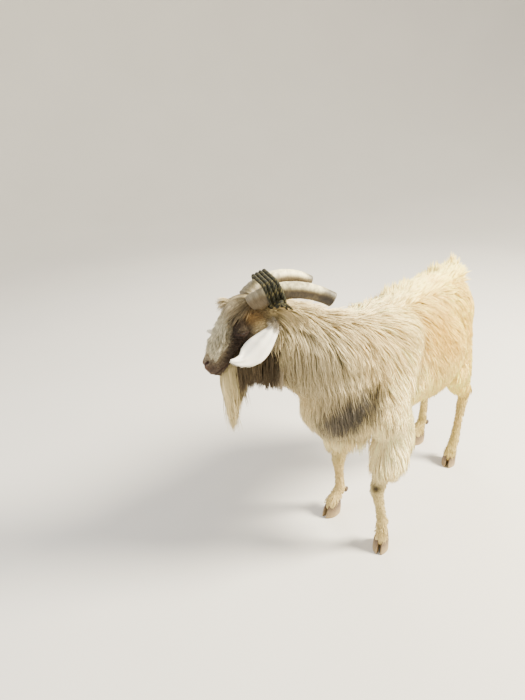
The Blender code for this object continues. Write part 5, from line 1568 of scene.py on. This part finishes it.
floor = makeFloor()
floorLook, floorTree, floorShader = newMaterial("matPaintedFloor", roughness=0.9, specular=0.2)
floorSpot = addNode(floorTree, "ShaderNodeTexCoord")
floorCloud = addNode(floorTree, "ShaderNodeTexNoise", {"Scale": 1.4, "Detail": 3.0}, {"Vector": floorSpot.outputs["Object"]})
floorRamp = addNode(floorTree, "ShaderNodeMapRange", {"To Min": 0.94, "To Max": 1.03}, {"Value": floorCloud.outputs["Fac"]})
floorShade = addNode(floorTree, "ShaderNodeVectorMath", dict(operation="SCALE"), {"Scale": floorRamp.outputs["Result"]})
floorShade.inputs[0].default_value = tuple(linear(studio["floor"]))
floorTree.links.new(floorShade.outputs["Vector"], floorShader.inputs["Base Color"])
floor.data.materials.append(floorLook)


def areaLight(name, at, aim, size, power, colour=(1, 1, 1)):
    bpy.ops.object.light_add(type="AREA", location=at)
    lamp = bpy.context.active_object
    lamp.name = name
    lamp.data.shape = "DISK"
    lamp.data.size = size
    lamp.data.energy = power
    lamp.data.color = colour
    lamp.rotation_euler = (Vector(aim) - Vector(at)).to_track_quat("-Z", "Y").to_euler()


areaLight("keyLight", (-1.9, 2.4, 3.0), (0.05, 0, 0.5), 1.3, studio["keyPower"], (1.0, 0.93, 0.75))
areaLight("fillLight", (2.6, -1.6, 1.9), (0.1, 0, 0.5), 2.4, studio["fillPower"], (0.94, 0.97, 1.0))
areaLight("rimLight", (-1.8, -2.0, 2.8), (0.0, 0, 0.6), 1.6, studio["rimPower"], (1.0, 0.97, 0.93))

world = bpy.data.worlds.new("softStudioSky")
bpy.context.scene.world = world
world.use_nodes = True
world.node_tree.nodes["Background"].inputs["Color"].default_value = hex4(studio["sky"])
world.node_tree.nodes["Background"].inputs["Strength"].default_value = studio["skyLevel"]

view = dict(at=(1.4277, 0.7153, 1.3), pitch=25.165244, roll=2.690921, heading=-133.637855, focal=526.0,
            frameSize=(525, 700))


def setCamera():
    heading = math.radians(view["heading"])
    gx = Vector((math.cos(heading), math.sin(heading), 0))
    gy = Vector((-math.sin(heading), math.cos(heading), 0))
    pitch, roll = math.radians(view["pitch"]), math.radians(view["roll"])
    ahead = Vector((0, math.cos(pitch), -math.sin(pitch)))
    up = Vector((0, math.sin(pitch), math.cos(pitch)))
    right = Vector((1, 0, 0))
    turned = [right * math.cos(roll) - up * math.sin(roll), right * math.sin(roll) + up * math.cos(roll), -ahead]
    axes = [Vector((v.dot(gx), v.dot(gy), v.z)) for v in turned]
    data = bpy.data.cameras.new("photoCamera")
    data.sensor_width = 36.0
    data.sensor_fit = "AUTO"
    data.lens = view["focal"] / max(view["frameSize"]) * 36.0
    camera = newObject("photoCamera", data)
    place = Matrix(axes).transposed().to_4x4()
    place.translation = Vector(view["at"]) + shift
    camera.matrix_world = place
    bpy.context.scene.camera = camera


setCamera()
